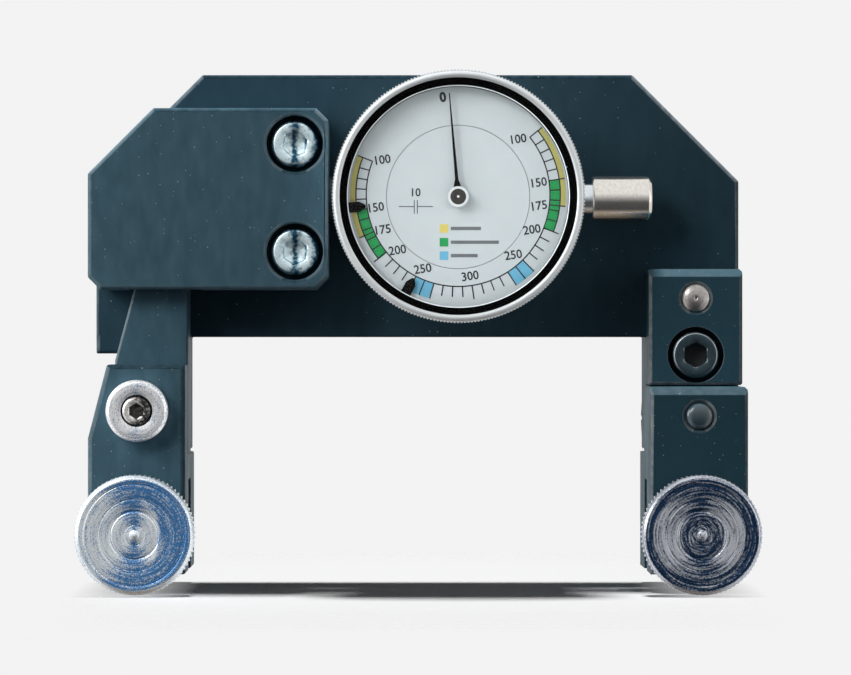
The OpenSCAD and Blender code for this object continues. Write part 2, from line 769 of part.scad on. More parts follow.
// Cone that bevels the mouth of a hole in a front face
module hole_mouth(x, z, radius, rim, face_y) {
    turned_y(x, z, [
        [0, face_y - over], [radius + over + rim, face_y - over], [radius, face_y + rim], [0, face_y + rim]
    ]);
}

// Cut that bevels the top edge of the bracket's or the fixed jaw's face
module top_bevel(y0, z1) {
    translate([bracket_x - leg_in - leg_out, 0, 0]) rotate([90, 0, 90])
        linear_extrude(2 * (leg_in + leg_out))
        polygon([[y0 - over, z1 - top_cut - over], [y0 + top_cut + over, z1 + over], [y0 - over, z1 + over]]);
}

module bracket() {
    cuts = [bracket_nick, bracket_nick, bracket_corner, bracket_corner];
    outline = cut_rect(right_x - leg_in, right_x + leg_out, bracket_z0, bracket_z0 + bracket_h, cuts);
    color(paint)
    difference() {
        bevelled_slab(outline, bracket_y0, frame_y0, side_cut);
        top_bevel(bracket_y0, bracket_z0 + bracket_h);
        rod_y(bracket_x, bracket_screw_z, m5_bore_d / 2, bracket_y0 - over, bracket_screw_seat);
        rod_y(bracket_x, bracket_screw_z, m5_d / 2 + fit_gap, bracket_y0, frame_y0 + over);
        rod_y(bracket_x, bracket_dowel_z, dowel_d / 2 + fit_gap, bracket_y0 - over, frame_y0 + over);
        hole_mouth(bracket_x, bracket_dowel_z, dowel_d / 2, dowel_rim, bracket_y0);
    }
}

module bracket_screw() {
    color(dark)
    cap_screw(bracket_x, bracket_screw_z, m5_d, m5_head_d, m5_head_h, m5_key,
        bracket_screw_seat, frame_y0 + m5_grip - side_gap, 30);
}

module bracket_dowel() {
    color(steel)
    domed_dowel(bracket_x, bracket_dowel_z, bracket_y0, frame_y0 + dowel_depth - side_gap);
}

// Lower part that both jaws share, with its slot for the blade, screw thread and anvil seat
module jaw_foot(x, side) {
    low_x = side > 0 ? x - jaw_in : x - jaw_out;
    high_x = side > 0 ? x + jaw_out : x + jaw_in;
    bevelled_slab(rect(low_x, high_x, -jaw_down, shelf_z), jaw_y0, jaw_back);
}

module jaw_cuts(x) {
    block([x - 2 * jaw_out, -slot_w, -jaw_down - over], [x + 2 * jaw_out, anvil_proud, slot_up]);
    rod_y(x, 0, screw_d / 2, jaw_y0 - over, -slot_w + over);
    rod_y(x, 0, anvil_d / 2 + fit_gap, 0, anvil_t);
}

module fixed_jaw() {
    cuts = [square_cut, square_cut, fixed_jaw_nick, fixed_jaw_nick];
    outline = cut_rect(right_x - jaw_in, right_x + jaw_out, -jaw_down, fixed_top, cuts);
    color(paint)
    difference() {
        union() {
            jaw_foot(right_x, 1);
            bevelled_slab(outline, jaw_y0, frame_y0, side_cut);
        }
        top_bevel(jaw_y0, fixed_top);
        jaw_cuts(right_x);
        rod_y(jaw_dowel_x, pivot_h - jaw_dowel_down, dowel_d / 2 + fit_gap, jaw_y0 - over, jaw_y0 + dowel_depth);
        hole_mouth(jaw_dowel_x, pivot_h - jaw_dowel_down, dowel_d / 2, dowel_rim, jaw_y0);
        for (side = [-1, 1])
            rod_y(right_x + side * m4_span / 2, m4_z, m4_d / 2 + fit_gap, frame_y0 - m4_grip, frame_y0 + over);
    }
}

module fixed_jaw_screws() {
    color(dark)
    for (side = [-1, 1])
        back_screw(right_x + side * m4_span / 2, m4_z, m4_d, m4_head_d, m4_head_h, m4_d * 0.75,
            frame_y1 - m4_head_h - head_room, frame_y0 - m4_grip + side_gap);
}

module fixed_jaw_dowel() {
    color(paint)
    domed_dowel(jaw_dowel_x, pivot_h - jaw_dowel_down, jaw_y0, jaw_y0 + dowel_depth - side_gap);
}

module anvil(x) {
    color(steel)
    rod_y(x, 0, anvil_d / 2, 0, anvil_t);
}

module fixed_anvil() {
    anvil(right_x);
}

module moving_anvil() {
    anvil(left_x);
}

module moving_jaw() {
    slant_z = pivot_h - slant_down;
    outline = [
        [left_x - jaw_out, -jaw_down], [left_x + jaw_in, -jaw_down], [left_x + jaw_in, moving_top],
        [left_x - jaw_out + slant_in, moving_top], [left_x - jaw_out, slant_z]
    ];
    color(paint)
    difference() {
        union() {
            jaw_foot(left_x, -1);
            bevelled_slab(outline, jaw_y0, arm_y0);
        }
        block([left_x - jaw_out - over, arm_y0, shelf_z],
            [left_x + jaw_in + over, jaw_back + over, moving_top]);
        jaw_cuts(left_x);
        rod_y(left_x, pivot_h, bush_d / 2 + fit_gap, jaw_y0 - over, arm_y0 + over);
        for (side = [-1, 1])
            rod_y(left_x + m3_in, pivot_h + side * m3_up, m3_d / 2 + fit_gap, arm_y0 - m3_grip, arm_y0 + over);
    }
}

// Lever arm, from the moving jaw's shelf up to the plunger
module lever_arm() {
    outline = [
        [left_x - arm_out, shelf_z], [contact_x, shelf_z], [contact_x, arm_top],
        [left_x - arm_out + arm_lean, arm_top], [left_x - arm_out, arm_bend]
    ];
    color(paint)
    difference() {
        slab(outline, arm_y0, arm_y1);
        rod_y(left_x, pivot_h, bush_d / 2 + fit_gap, arm_y0 - over, arm_y1 + over);
        rod_y(stop_x - stop_move / 2, stop_z, (stop_d + stop_move) / 2 + run_gap, arm_y0 - over, arm_y1 + over);
        rod_x(button_d / 2 + fit_gap, contact_x - button_t, contact_x + over);
        for (side = [-1, 1]) {
            rod_y(left_x + m3_in, pivot_h + side * m3_up, m3_d / 2 + fit_gap, arm_y0 - over, arm_y1 + over);
            rod_y(left_x + m3_in, pivot_h + side * m3_up, m3_head_d / 2 + head_room,
                arm_y1 - m3_head_h - head_room, arm_y1 + over);
        }
    }
}

module lever_screws() {
    color(dark)
    for (side = [-1, 1])
        back_screw(left_x + m3_in, pivot_h + side * m3_up, m3_d, m3_head_d, m3_head_h, m3_d * 0.8,
            arm_y1 - m3_head_h - head_room, arm_y0 - m3_grip + side_gap);
}

module pivot_bush() {
    color(brass)
    washer_y(left_x, pivot_h, pin_d / 2 + run_gap, bush_d / 2, jaw_y0, arm_y1);
}

module contact_button() {
    color(steel)
    rod_x(button_d / 2, contact_x - button_t, contact_x);
}

// Pivot pin, pressed into the frame's left leg, with a key socket in its front end
module pivot_pin() {
    color(dark)
    difference() {
        rod_y(left_x, pivot_h, pin_d / 2, collar_y0 - pin_proud, frame_y1);
        translate([left_x, collar_y0 - pin_proud + pin_key, pivot_h])
            rotate([90, 30, 0])
            cylinder(h = pin_key + over, d = pin_key / cos(30), $fn = 6);
    }
}

module pivot_collar() {
    color(bright)
    turned_y(left_x, pivot_h, [
        [pin_d / 2 + fit_gap, collar_y0], [collar_d / 2 - collar_lip, collar_y0],
        [collar_d / 2, collar_y0 + collar_lip],
        [collar_d / 2, collar_y1], [pin_d / 2 + fit_gap, collar_y1]
    ]);
}

// Pin in the frame that stops the lever at both ends of its travel
module stop_pin() {
    color(steel)
    rod_y(stop_x, stop_z, stop_d / 2, arm_y0 + side_gap, frame_y0 + dowel_depth - side_gap);
}

// Clamp screw with a turned, knurled head, a thread and a plain tip for its pad
module clamp_screw(x) {
    head_r = head_d / 2;
    thread_y0 = head_y1 + thread_start;
    root_r = thread_r - 0.6 * screw_pitch;
    crests = floor((thread_end - head_y1) / screw_pitch) - 1;
    profile = concat(
        [[0, head_y0], [head_r - head_lip, head_y0], [head_r, head_y0 + head_lip],
            [head_r, head_y1 - head_lip], [head_r - head_lip, head_y1], [root_r, head_y1]],
        [for (i = [0 : crests - 1], half = [0, 1])
            [half == 0 ? root_r : thread_r, thread_y0 + (i + half / 2) * screw_pitch]],
        [[root_r, thread_y0 + crests * screw_pitch], [root_r, thread_end], [tip_d / 2, thread_end],
            [tip_d / 2, pad_y0 + tip_len], [0, pad_y0 + tip_len]]
    );
    color(bright)
    turned_y(x, 0, profile);
}

// Pressure pad that swivels on the clamp screw's tip
module pad(x) {
    color(steel)
    turned_y(x, 0, [
        [tip_d / 2 + run_gap, pad_y0], [pad_d / 2 - pad_lip, pad_y0], [pad_d / 2, pad_y0 + pad_lip],
        [pad_d / 2, pad_y0 + pad_t], [0, pad_y0 + pad_t], [0, pad_y0 + tip_len + run_gap],
        [tip_d / 2 + run_gap, pad_y0 + tip_len + run_gap]
    ]);
}

module left_clamp_screw() {
    clamp_screw(left_x);
}

module left_pad() {
    pad(left_x);
}

module right_clamp_screw() {
    clamp_screw(right_x);
}

module right_pad() {
    pad(right_x);
}

// Places around the case for the back plate's four screws
function back_screw_spots() = [
    for (a = [45 : 90 : 315]) [dial_x + back_screw_at * cos(a), plunger_h + back_screw_at * sin(a)]
];

module case() {
    groove = case_r - ring_room - ring_deep;
    color(bright)
    difference() {
        turned_y(dial_x, plunger_h, [
            [case_bore, case_y0], [case_r, case_y0], [case_r, ring_y - ring_room],
            [groove, ring_y - ring_room], [groove, ring_y + ring_room],
            [case_r, ring_y + ring_room], [case_r, case_y1], [case_seat, case_y1],
            [case_seat, rear_plate_y1], [case_bore, rear_plate_y1]
        ]);
        rod_x(stem_d / 2 + fit_gap, dial_x - case_r - over, dial_x - case_seat / 2);
        rod_x(neck_d / 2 + fit_gap, dial_x + case_seat / 2, dial_x + case_r + over);
        for (spot = back_screw_spots())
            rod_y(spot.x, spot.y, back_screw_d / 2 + fit_gap,
                case_y1 - back_screw_len - side_gap, case_y1 + over);
    }
}

// Back plate with the slotted guide that keeps the plunger from turning
module case_back() {
    guide_y0 = axis_y + plunger_r + guide_gap;
    half = guide_d / 2 + run_gap;
    color(bright)
    difference() {
        union() {
            rod_y(dial_x, plunger_h, case_r, case_y1, back_y1);
            block([dial_x + guide_x - guide_half, guide_y0, plunger_h - half - guide_wall],
                [dial_x + guide_x + guide_half, back_y1, plunger_h + half + guide_wall]);
        }
        block([dial_x + guide_x - guide_half - over, guide_y0 - over, plunger_h - half],
            [dial_x + guide_x + guide_half + over, case_y1 - guide_floor, plunger_h + half]);
        for (spot = back_screw_spots()) {
            rod_y(spot.x, spot.y, back_screw_d / 2 + fit_gap, case_y1 - over, back_y1 + over);
            rod_y(spot.x, spot.y, back_head_r + fit_gap, back_y1 - back_head_t, back_y1 + over);
        }
    }
}

module case_back_screws() {
    color(steel)
    for (spot = back_screw_spots())
        turned_y(spot.x, spot.y, [
            [0, case_y1 - back_screw_len], [back_screw_d / 2, case_y1 - back_screw_len],
            [back_screw_d / 2, back_y1 - back_head_t], [back_head_r, back_y1 - back_head_t],
            [back_head_r, back_y1], [0, back_y1]
        ]);
}

module stem() {
    color(bright)
    tube_x(plunger_r + run_gap, stem_d / 2, stem_x0, stem_x1);
}

module neck() {
    color(bright)
    tube_x(plunger_r + run_gap, neck_d / 2, neck_x0, cap_x0 + neck_thread);
}

module end_cap() {
    bore = plunger_r + cap_room;
    seat = cap_x0 + neck_thread + fit_gap;
    color(bright)
    turned_x([
        [neck_d / 2 + fit_gap, cap_x0], [cap_d / 2, cap_x0], [cap_d / 2, cap_x1 - cap_lip],
        [cap_d / 2 - cap_lip, cap_x1], [0, cap_x1], [0, cap_end], [bore, cap_end], [bore, seat],
        [neck_d / 2 + fit_gap, seat]
    ]);
}

// Wire ring that snaps between the case and the bezel
module bezel_ring_spring() {
    color(steel)
    translate([dial_x, ring_y, plunger_h])
        rotate([-90, 0, 0])
        rotate_extrude()
        translate([case_r, 0])
        circle(d = ring_wire_d, $fn = 24);
}

// Fixed dial with two feet on the front plate
module dial_face() {
    color("white")
    difference() {
        union() {
            rod_y(dial_x, plunger_h, face_d / 2, face_y0, face_y0 + face_t);
            for (side = [-1, 1])
                rod_y(dial_x, plunger_h + side * face_d * 0.36, foot_d / 2, face_y0, front_plate_y0);
        }
        rod_y(dial_x, plunger_h, arbor_d / 2 + side_gap, face_y0 - over, face_y0 + face_t + over);
    }
}

// Movement plate with bearing holes for the three arbors
module movement_plate(y0) {
    difference() {
        rod_y(dial_x, plunger_h, case_bore - fit_gap, y0, y0 + plate_t);
        for (spot = arbor_spots())
            rod_y(spot.x, spot.y, arbor_d / 2 + run_gap, y0 - over, y0 + plate_t + over);
    }
}

function arbor_spots() = [[rack_arbor_x, arbor_z], [dial_x, plunger_h], [take_up_x, arbor_z]];

module front_plate() {
    stud_x = take_up_x + hair_outer * cos(hair_end);
    stud_z = arbor_z + hair_outer * sin(hair_end);
    color(brass)
    union() {
        movement_plate(front_plate_y0);
        rod_y(stud_x, stud_z, stud_d / 2, front_plate_y1, hair_y0);
    }
}

module rear_plate() {
    color(brass)
    movement_plate(rear_plate_y0);
}

module pillars() {
    color(brass)
    for (a = [90, 230, 310])
        rod_y(dial_x + pillar_at * cos(a), plunger_h + pillar_at * sin(a), pillar_d / 2,
            front_plate_y1, rear_plate_y0);
}

// Bezel that turns on the case and carries the crystal and the scale
module bezel() {
    bore = case_r + run_gap;
    groove = case_r + ring_room + ring_deep;
    color(bright)
    turned_y(dial_x, plunger_h, [
        [bore, bezel_y1], [bezel_r - bezel_lip, bezel_y1], [bezel_r, bezel_y1 - bezel_lip],
        [bezel_r, bezel_y0 + bezel_lip], [bezel_r - bezel_lip, bezel_y0], [rim_r, bezel_y0],
        [rim_r, crystal_y0], [recess_r, crystal_y0],
        [recess_r, ledge_y], [bore, ledge_y], [bore, ring_y - ring_room], [groove, ring_y - ring_room],
        [groove, ring_y + ring_room], [bore, ring_y + ring_room]
    ]);
}

module crystal() {
    color([0.9, 0.95, 1, 0.3])
    rod_y(dial_x, plunger_h, crystal_r, crystal_y0, crystal_y1);
}

// Dark ring that holds the crystal off the scale
module gasket() {
    wall_r = crystal_r - gasket_wall;
    color(dark)
    turned_y(dial_x, plunger_h, [
        [window_r, crystal_y1], [crystal_r, crystal_y1], [crystal_r, face_y0], [wall_r, face_y0],
        [wall_r, crystal_y1 + gasket_t], [window_r, crystal_y1 + gasket_t]
    ]);
}

module scale_ring() {
    color("white")
    washer_y(dial_x, plunger_h, face_d / 2 + 2 * run_gap, crystal_r, face_y0, ledge_y);
}

// Limit marker: a clip that slides under the dark ring, with a finger that points at the scale
module marker(clockwise) {
    clip_half = 5;
    clip_r = marker_r - clip_w;
    tip_r = marker_r - marker_reach;
    clip_arc = [for (a = [90 - clip_half : 1 : 90 + clip_half]) marker_r * [cos(a), sin(a)]];
    finger_z = clip_r * cos(clip_half);
    color(dark)
    translate([dial_x, 0, plunger_h])
        rotate([0, clockwise, 0])
        slab(concat(clip_arc, [
            clip_r * [cos(90 + clip_half), sin(90 + clip_half)],
            [-marker_w / 2, finger_z], [-marker_w / 2, tip_r + marker_w * 0.6], [-marker_w * 0.12, tip_r],
            [marker_w * 0.12, tip_r], [marker_w / 2, tip_r + marker_w * 0.6], [marker_w / 2, finger_z],
            clip_r * [cos(90 - clip_half), sin(90 - clip_half)]
        ]), marker_y0, marker_y1);
}

module left_marker() {
    marker(left_marker_at);
}

module right_marker() {
    marker(right_marker_at);
}

// Outline of a gear with straight-sided teeth, one tooth at the phase angle
function gear_outline(teeth, size, phase) = let (
    step = 360 / teeth,
    root = (teeth / 2 - tooth_low) * size,
    tip = (teeth / 2 + tooth_high) * size
) [
    for (i = [0 : teeth - 1], edge = [[root, -0.27], [tip, -0.1], [tip, 0.1], [root, 0.27]])
        edge[0] * [cos(phase + (i + edge[1]) * step), sin(phase + (i + edge[1]) * step)]
];

// Gear whose size is its module
module gear(x, z, teeth, size, phase, y0, y1) {
    translate([x, 0, z]) slab(gear_outline(teeth, size, phase), y0, y1);
}

// Region cut away above the rack's teeth, with a gap of the rack under the pinion
function rack_cut() = let (
    n = floor(rack_len / tooth_pitch / 2),
    line = plunger_h + rack_line,
    x0 = rack_arbor_x - (n + 0.5) * tooth_pitch,
    x1 = rack_arbor_x + (n + 0.5) * tooth_pitch,
    top = plunger_h + plunger_d
) concat(
    [[x1, top], [x0, top], [x0, line + tooth_up]],
    [for (i = [-n : n], edge = [[-0.36, tooth_up], [-0.2, -tooth_down], [0.2, -tooth_down], [0.36, tooth_up]])
        [rack_arbor_x + (i + edge[0]) * tooth_pitch, line + edge[1]]],
    [[x1, line + tooth_up]]
);

module plunger() {
    color(steel)
    difference() {
        rod_x(plunger_r, plunger_x0, plunger_x1);
        slab(rack_cut(), axis_y - plunger_d, axis_y + plunger_d);
        rod_x(ball_d * 0.3 + fit_gap, plunger_x0 - over, plunger_x0 + tip_thread + tip_room);
        rod_y(dial_x + guide_x, plunger_h, guide_d / 2 + fit_gap, axis_y, axis_y + plunger_d);
    }
}

// Screw-in tip with a hard ball that bears on the lever's button
module contact_tip() {
    ball_r = ball_d / 2;
    neck_r = ball_d * 0.4;
    screw_r = ball_d * 0.3;
    steps = 16;
    sweep = 180 - asin(neck_r / ball_r);
    ball = [for (i = [0 : steps]) [ball_r * sin(sweep * i / steps), tip_x - ball_r * cos(sweep * i / steps)]];
    color(steel)
    turned_x(concat(ball, [
        [neck_r, plunger_x0], [screw_r, plunger_x0],
        [screw_r, plunger_x0 + tip_thread], [0, plunger_x0 + tip_thread]
    ]));
}

// Pin in the plunger that slides in the back plate's guide
module guide_pin() {
    color(steel)
    rod_y(dial_x + guide_x, plunger_h, guide_d / 2, axis_y, case_y1 - guide_end);
}

// Points of a ring around the spring's wire at an angle along its helix
function wire_ring(turn, x) = [
    for (a = [0 : 60 : 300])
        let (r = spring_r + spring_wire_d / 2 * cos(a))
        [x + spring_wire_d / 2 * sin(a), axis_y + r * cos(turn), plunger_h + r * sin(turn)]
];

// Coiled spring between the plunger's end and the cap
module return_spring() {
    rings = round(spring_turns * 12);
    x0 = plunger_x1 + spring_wire_d / 2 + run_gap;
    x1 = cap_end - spring_wire_d / 2 - run_gap;
    points = [for (i = [0 : rings]) each wire_ring(i * 30, x0 + (x1 - x0) * i / rings)];
    sides = [
        for (i = [0 : rings - 1], k = [0 : 5])
            let (a = i * 6 + k, b = i * 6 + (k + 1) % 6)
            each [[a, b + 6, b], [a, a + 6, b + 6]]
    ];
    last = rings * 6;
    ends = [
        for (k = [1 : 4]) each [[0, k, k + 1], [last, last + k + 1, last + k]]
    ];
    color(steel)
    polyhedron(points, concat(sides, ends));
}

// Arbor with the pinion that the plunger's rack turns
module rack_arbor() {
    color(steel)
    union() {
        rod_y(rack_arbor_x, arbor_z, arbor_d / 2, front_plate_y0 + arbor_end, axis_y + plunger_r);
        gear(rack_arbor_x, arbor_z, pinion_teeth, tooth_module, -90,
            axis_y - plunger_r + pinion_in, axis_y + plunger_r - pinion_in);
    }
}

module wheel(x, phase) {
    color(brass)
    difference() {
        gear(x, arbor_z, wheel_teeth, wheel_module, phase, wheel_y0, wheel_y1);
        rod_y(x, arbor_z, arbor_d / 2 + fit_gap, wheel_y0 - over, wheel_y1 + over);
        for (a = [0 : 90 : 270])
            rod_y(x + wheel_r * 0.55 * cos(a), arbor_z + wheel_r * 0.55 * sin(a), wheel_r * 0.26,
                wheel_y0 - over, wheel_y1 + over);
    }
}

module rack_wheel() {
    wheel(rack_arbor_x, rack_wheel_phase);
}

// Arbor of the pointer, with the centre pinion
module centre_arbor() {
    color(steel)
    union() {
        rod_y(dial_x, plunger_h, arbor_d / 2, hub_y0, rear_plate_y1 + arbor_end);
        gear(dial_x, plunger_h, pinion_teeth, wheel_module, centre_phase,
            wheel_mid - pinion_len / 2, wheel_mid + pinion_len / 2);
    }
}

module pointer() {
    eye_r = arbor_d / 2 + eye_wall;
    flare = hub_d * 0.85;
    tip_w = pointer_w * 0.18;
    neck_w = pointer_w * 0.6;
    color(dark)
    translate([dial_x, 0, plunger_h])
        rotate([0, pointer_rest, 0])
        difference() {
            union() {
                rod_y(0, 0, eye_r, pointer_y0, pointer_y1);
                slab([
                    [-pointer_w, eye_r / 2], [pointer_w, eye_r / 2], [neck_w / 2, flare],
                    [tip_w / 2, pointer_len], [-tip_w / 2, pointer_len], [-neck_w / 2, flare]
                ], pointer_y0, pointer_y1);
            }
            rod_y(0, 0, arbor_d / 2 + fit_gap, pointer_y0 - over, pointer_y1 + over);
        }
}

module pointer_hub() {
    color(bright)
    washer_y(dial_x, plunger_h, arbor_d / 2 + fit_gap, hub_d / 2, hub_y0, pointer_y0);
}

module pointer_cap() {
    color(dark)
    rod_y(dial_x, plunger_h, hub_d * 0.38, hub_y0 - hub_cap_t, hub_y0);
}

// Arbor of the wheel that takes up the train's slack
module take_up_arbor() {
    color(steel)
    union() {
        rod_y(take_up_x, arbor_z, arbor_d / 2, front_plate_y0 + arbor_end, rear_plate_y1 - arbor_end);
        rod_y(take_up_x, arbor_z, hair_inner, hair_y0, wheel_y0);
    }
}

module take_up_wheel() {
    wheel(take_up_x, take_up_phase);
}

// Flat spiral between the take-up arbor and its stud on the front plate
module hairspring() {
    steps = 24 * hair_turns;
    r0 = hair_inner + fit_gap;
    growth = (hair_outer - hair_w - stud_d / 2 - r0) / steps;
    inner = [for (i = [0 : steps]) (r0 + growth * i) * [cos(i * 15), sin(i * 15)]];
    outer = [for (i = [steps : -1 : 0]) (r0 + growth * i + hair_w) * [cos(i * 15), sin(i * 15)]];
    color(steel)
    translate([take_up_x, 0, arbor_z]) slab(concat(inner, outer), hair_y0, hair_y1);
}

frame();
cover();
cover_screws();
stem_saddle();
bracket();
bracket_screw();
bracket_dowel();
fixed_jaw();
fixed_jaw_screws();
fixed_jaw_dowel();
fixed_anvil();
pivot_pin();
pivot_collar();
stop_pin();
moving_jaw();
lever_arm();
lever_screws();
pivot_bush();
contact_button();
moving_anvil();
left_clamp_screw();
left_pad();
right_clamp_screw();
right_pad();
case();
case_back();
case_back_screws();
stem();
neck();
end_cap();
bezel_ring_spring();
dial_face();
front_plate();
rear_plate();
pillars();
bezel();
crystal();
gasket();
scale_ring();
left_marker();
right_marker();
plunger();
contact_tip();
guide_pin();
return_spring();
rack_arbor();
rack_wheel();
centre_arbor();
pointer();
pointer_hub();
pointer_cap();
take_up_arbor();
take_up_wheel();
hairspring();
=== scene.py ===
"""Looks of a bandsaw blade tension meter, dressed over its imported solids.

Sizes are millimetres in the fields and become metres where a mesh is made. The clamp screws point along Y
and the viewer looks along +Y, so a smaller Y is nearer to the viewer.
"""

import functools
import json
import logging
import math
from dataclasses import dataclass
from enum import Enum
from typing import Any, Callable, Sequence

import bmesh
import bpy
from mathutils import Matrix, Vector


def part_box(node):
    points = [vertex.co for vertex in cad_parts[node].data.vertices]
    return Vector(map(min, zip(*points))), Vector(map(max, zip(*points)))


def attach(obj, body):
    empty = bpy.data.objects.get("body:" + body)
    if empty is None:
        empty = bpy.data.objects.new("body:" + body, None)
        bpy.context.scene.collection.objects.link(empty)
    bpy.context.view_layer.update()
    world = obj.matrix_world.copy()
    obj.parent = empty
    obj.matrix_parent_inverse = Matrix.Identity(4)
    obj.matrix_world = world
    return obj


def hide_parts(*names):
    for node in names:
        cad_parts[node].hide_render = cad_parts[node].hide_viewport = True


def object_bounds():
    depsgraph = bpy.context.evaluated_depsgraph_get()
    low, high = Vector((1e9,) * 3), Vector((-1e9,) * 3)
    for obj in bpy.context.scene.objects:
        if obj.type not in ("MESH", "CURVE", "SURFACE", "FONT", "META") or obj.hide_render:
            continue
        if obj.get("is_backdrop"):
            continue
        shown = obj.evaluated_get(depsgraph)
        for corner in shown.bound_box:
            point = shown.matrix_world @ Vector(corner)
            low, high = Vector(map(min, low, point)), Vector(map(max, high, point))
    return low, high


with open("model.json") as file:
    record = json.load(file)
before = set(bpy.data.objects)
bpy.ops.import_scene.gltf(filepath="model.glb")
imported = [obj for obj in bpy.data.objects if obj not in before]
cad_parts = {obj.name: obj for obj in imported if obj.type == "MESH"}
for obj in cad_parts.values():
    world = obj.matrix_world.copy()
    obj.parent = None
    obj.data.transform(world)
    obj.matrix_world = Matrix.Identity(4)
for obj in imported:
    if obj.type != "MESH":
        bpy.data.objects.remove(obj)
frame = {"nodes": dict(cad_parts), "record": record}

LOG = logging.getLogger("meter")
MM = 0.001
RGB = tuple[float, float, float]
Point = tuple[float, float, float]
Profile = list[tuple[float, float]]
Mesh = bpy.types.Mesh
Socket = bpy.types.NodeSocket
Tree = bpy.types.NodeTree

# Shared lengths in millimetres and angles in degrees
WELD = 0.025
FLAT_ANGLE = 0.6
SOFT_ANGLE = 40.0
PRINT_ANGLE = 20.0
ROUND_ANGLE = 60.0
ARC_STEP = 1.5

# Share of a profile's side that a rounding may take, and of the way along the axis that counts as way out
CORNER_SHARE = 0.45
ALONG_SHARE = 0.7

# Parts of a normal that tell a front face, a bevel, a left wall and a sideways bevel apart
FRONT_PART = 0.98
BEVEL_PART = 0.1
WALL_PART = 0.9
SIDE_PART = 0.4


class Body(str, Enum):
    """Bodies of the meter that carry new pieces."""

    FRAME = "frame"
    LEVER = "lever"
    LEFT_SCREW = "left_screw"
    RIGHT_SCREW = "right_screw"
    BEZEL = "bezel"
    POINTER = "pointer"


class Slot(str, Enum):
    """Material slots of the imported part."""

    PAINT = "slate_paint"
    ZINC = "zinc_plate"
    BLACK_STEEL = "black_steel"
    STEEL = "plain_steel"
    CHROME = "satin_chrome"
    ALUMINIUM = "aluminium"
    BRASS = "brass"
    BRONZE = "bronze"
    WHITE = "dial_white"
    TRIM = "black_trim"
    GLASS = "crystal_glass"


class Axis(Enum):
    """Direction in which a turned piece points."""

    X = "x"
    Y = "y"


class Shape(Enum):
    """Outline of one ring of a turned piece."""

    ROUND = "round"
    HEX = "hex"


class Wiring:
    """Adds, feeds and links the nodes of one tree."""

    def __init__(self, tree: Tree) -> None:
        """Takes the tree to wire.

        Args:
            tree: Node tree of a material, a world or a group.
        """
        self.tree = tree

    def feed(self, socket: Socket, value: Any) -> None:
        """Links a socket, or sets its constant.

        Args:
            socket: Input to feed.
            value: Output socket, number, colour or vector.
        """
        if isinstance(value, Socket):
            self.tree.links.new(value, socket)
        elif isinstance(value, tuple) and len(value) == 3 and socket.type == "RGBA":
            socket.default_value = (*value, 1.0)
        else:
            socket.default_value = value

    def add(self, kind: str, inputs: dict[str | int, Any] | None = None, **settings: Any) -> bpy.types.Node:
        """Adds one node.

        Args:
            kind: Type name of the node.
            inputs: Values by socket name or index.
            **settings: Properties of the node.

        Returns:
            The new node.
        """
        node = self.tree.nodes.new(kind)
        for name, value in settings.items():
            setattr(node, name, value)
        for key, value in (inputs or {}).items():
            self.feed(node.inputs[key], value)
        return node

    def math(self, operation: str, *values: Any) -> Socket:
        """Adds a math node and returns its output."""
        node = self.add("ShaderNodeMath", dict(enumerate(values)), operation=operation)
        return node.outputs[0]

    def vector(self, operation: str, *values: Any) -> Socket:
        """Adds a vector math node and returns its vector output."""
        node = self.add("ShaderNodeVectorMath", dict(enumerate(values)), operation=operation)
        return node.outputs[0]

    def mix(self, factor: Any, first: Any, second: Any) -> Socket:
        """Mixes two colours and returns the result."""
        node = self.add("ShaderNodeMix", {0: factor, 6: first, 7: second}, data_type="RGBA")
        return node.outputs[2]

    def span(self, value: Any, low: float, high: float, start: float, end: float) -> Socket:
        """Maps a value from one range to another, held at its ends."""
        inputs = {0: value, 1: low, 2: high, 3: start, 4: end}
        return self.add("ShaderNodeMapRange", inputs).outputs[0]

    def ramp(self, value: Any, stops: Sequence[tuple[float, RGB]]) -> Socket:
        """Maps a value to colours.

        Args:
            value: Value from 0 to 1.
            stops: Places with the colours to pass through.

        Returns:
            The colour output.
        """
        node = self.add("ShaderNodeValToRGB", {0: value})
        points = node.color_ramp.elements
        while len(points) < len(stops):
            points.new(1.0)
        for point, (spot, colour) in zip(points, stops):
            point.position = spot
            point.color = (*colour, 1.0)
        return node.outputs[0]

    def group(self, tree: Tree, **inputs: Any) -> Socket:
        """Adds a node group.

        Args:
            tree: Tree of the group.
            **inputs: Values by socket name.

        Returns:
            Its first output.
        """
        node = self.add("ShaderNodeGroup", node_tree=tree)
        for name, value in inputs.items():
            self.feed(node.inputs[name], value)
        return node.outputs[0]

    def place(self) -> Socket:
        """Returns the object coordinates."""
        return self.add("ShaderNodeTexCoord").outputs["Object"]


def bare_wiring(owner: bpy.types.Material | bpy.types.World) -> Wiring:
    """Gives a material or a world an empty node tree.

    Args:
        owner: Material or world.

    Returns:
        The wiring of its tree.
    """
    owner.use_nodes = True
    owner.node_tree.nodes.clear()
    return Wiring(owner.node_tree)


def spin_of(wiring: Wiring) -> Sequence[Socket]:
    """Returns the turn kept on a mesh, as its side, its rise and its way out."""
    spin = wiring.add("ShaderNodeAttribute", attribute_name="spin").outputs["Vector"]
    return wiring.add("ShaderNodeSeparateXYZ", {0: spin}).outputs


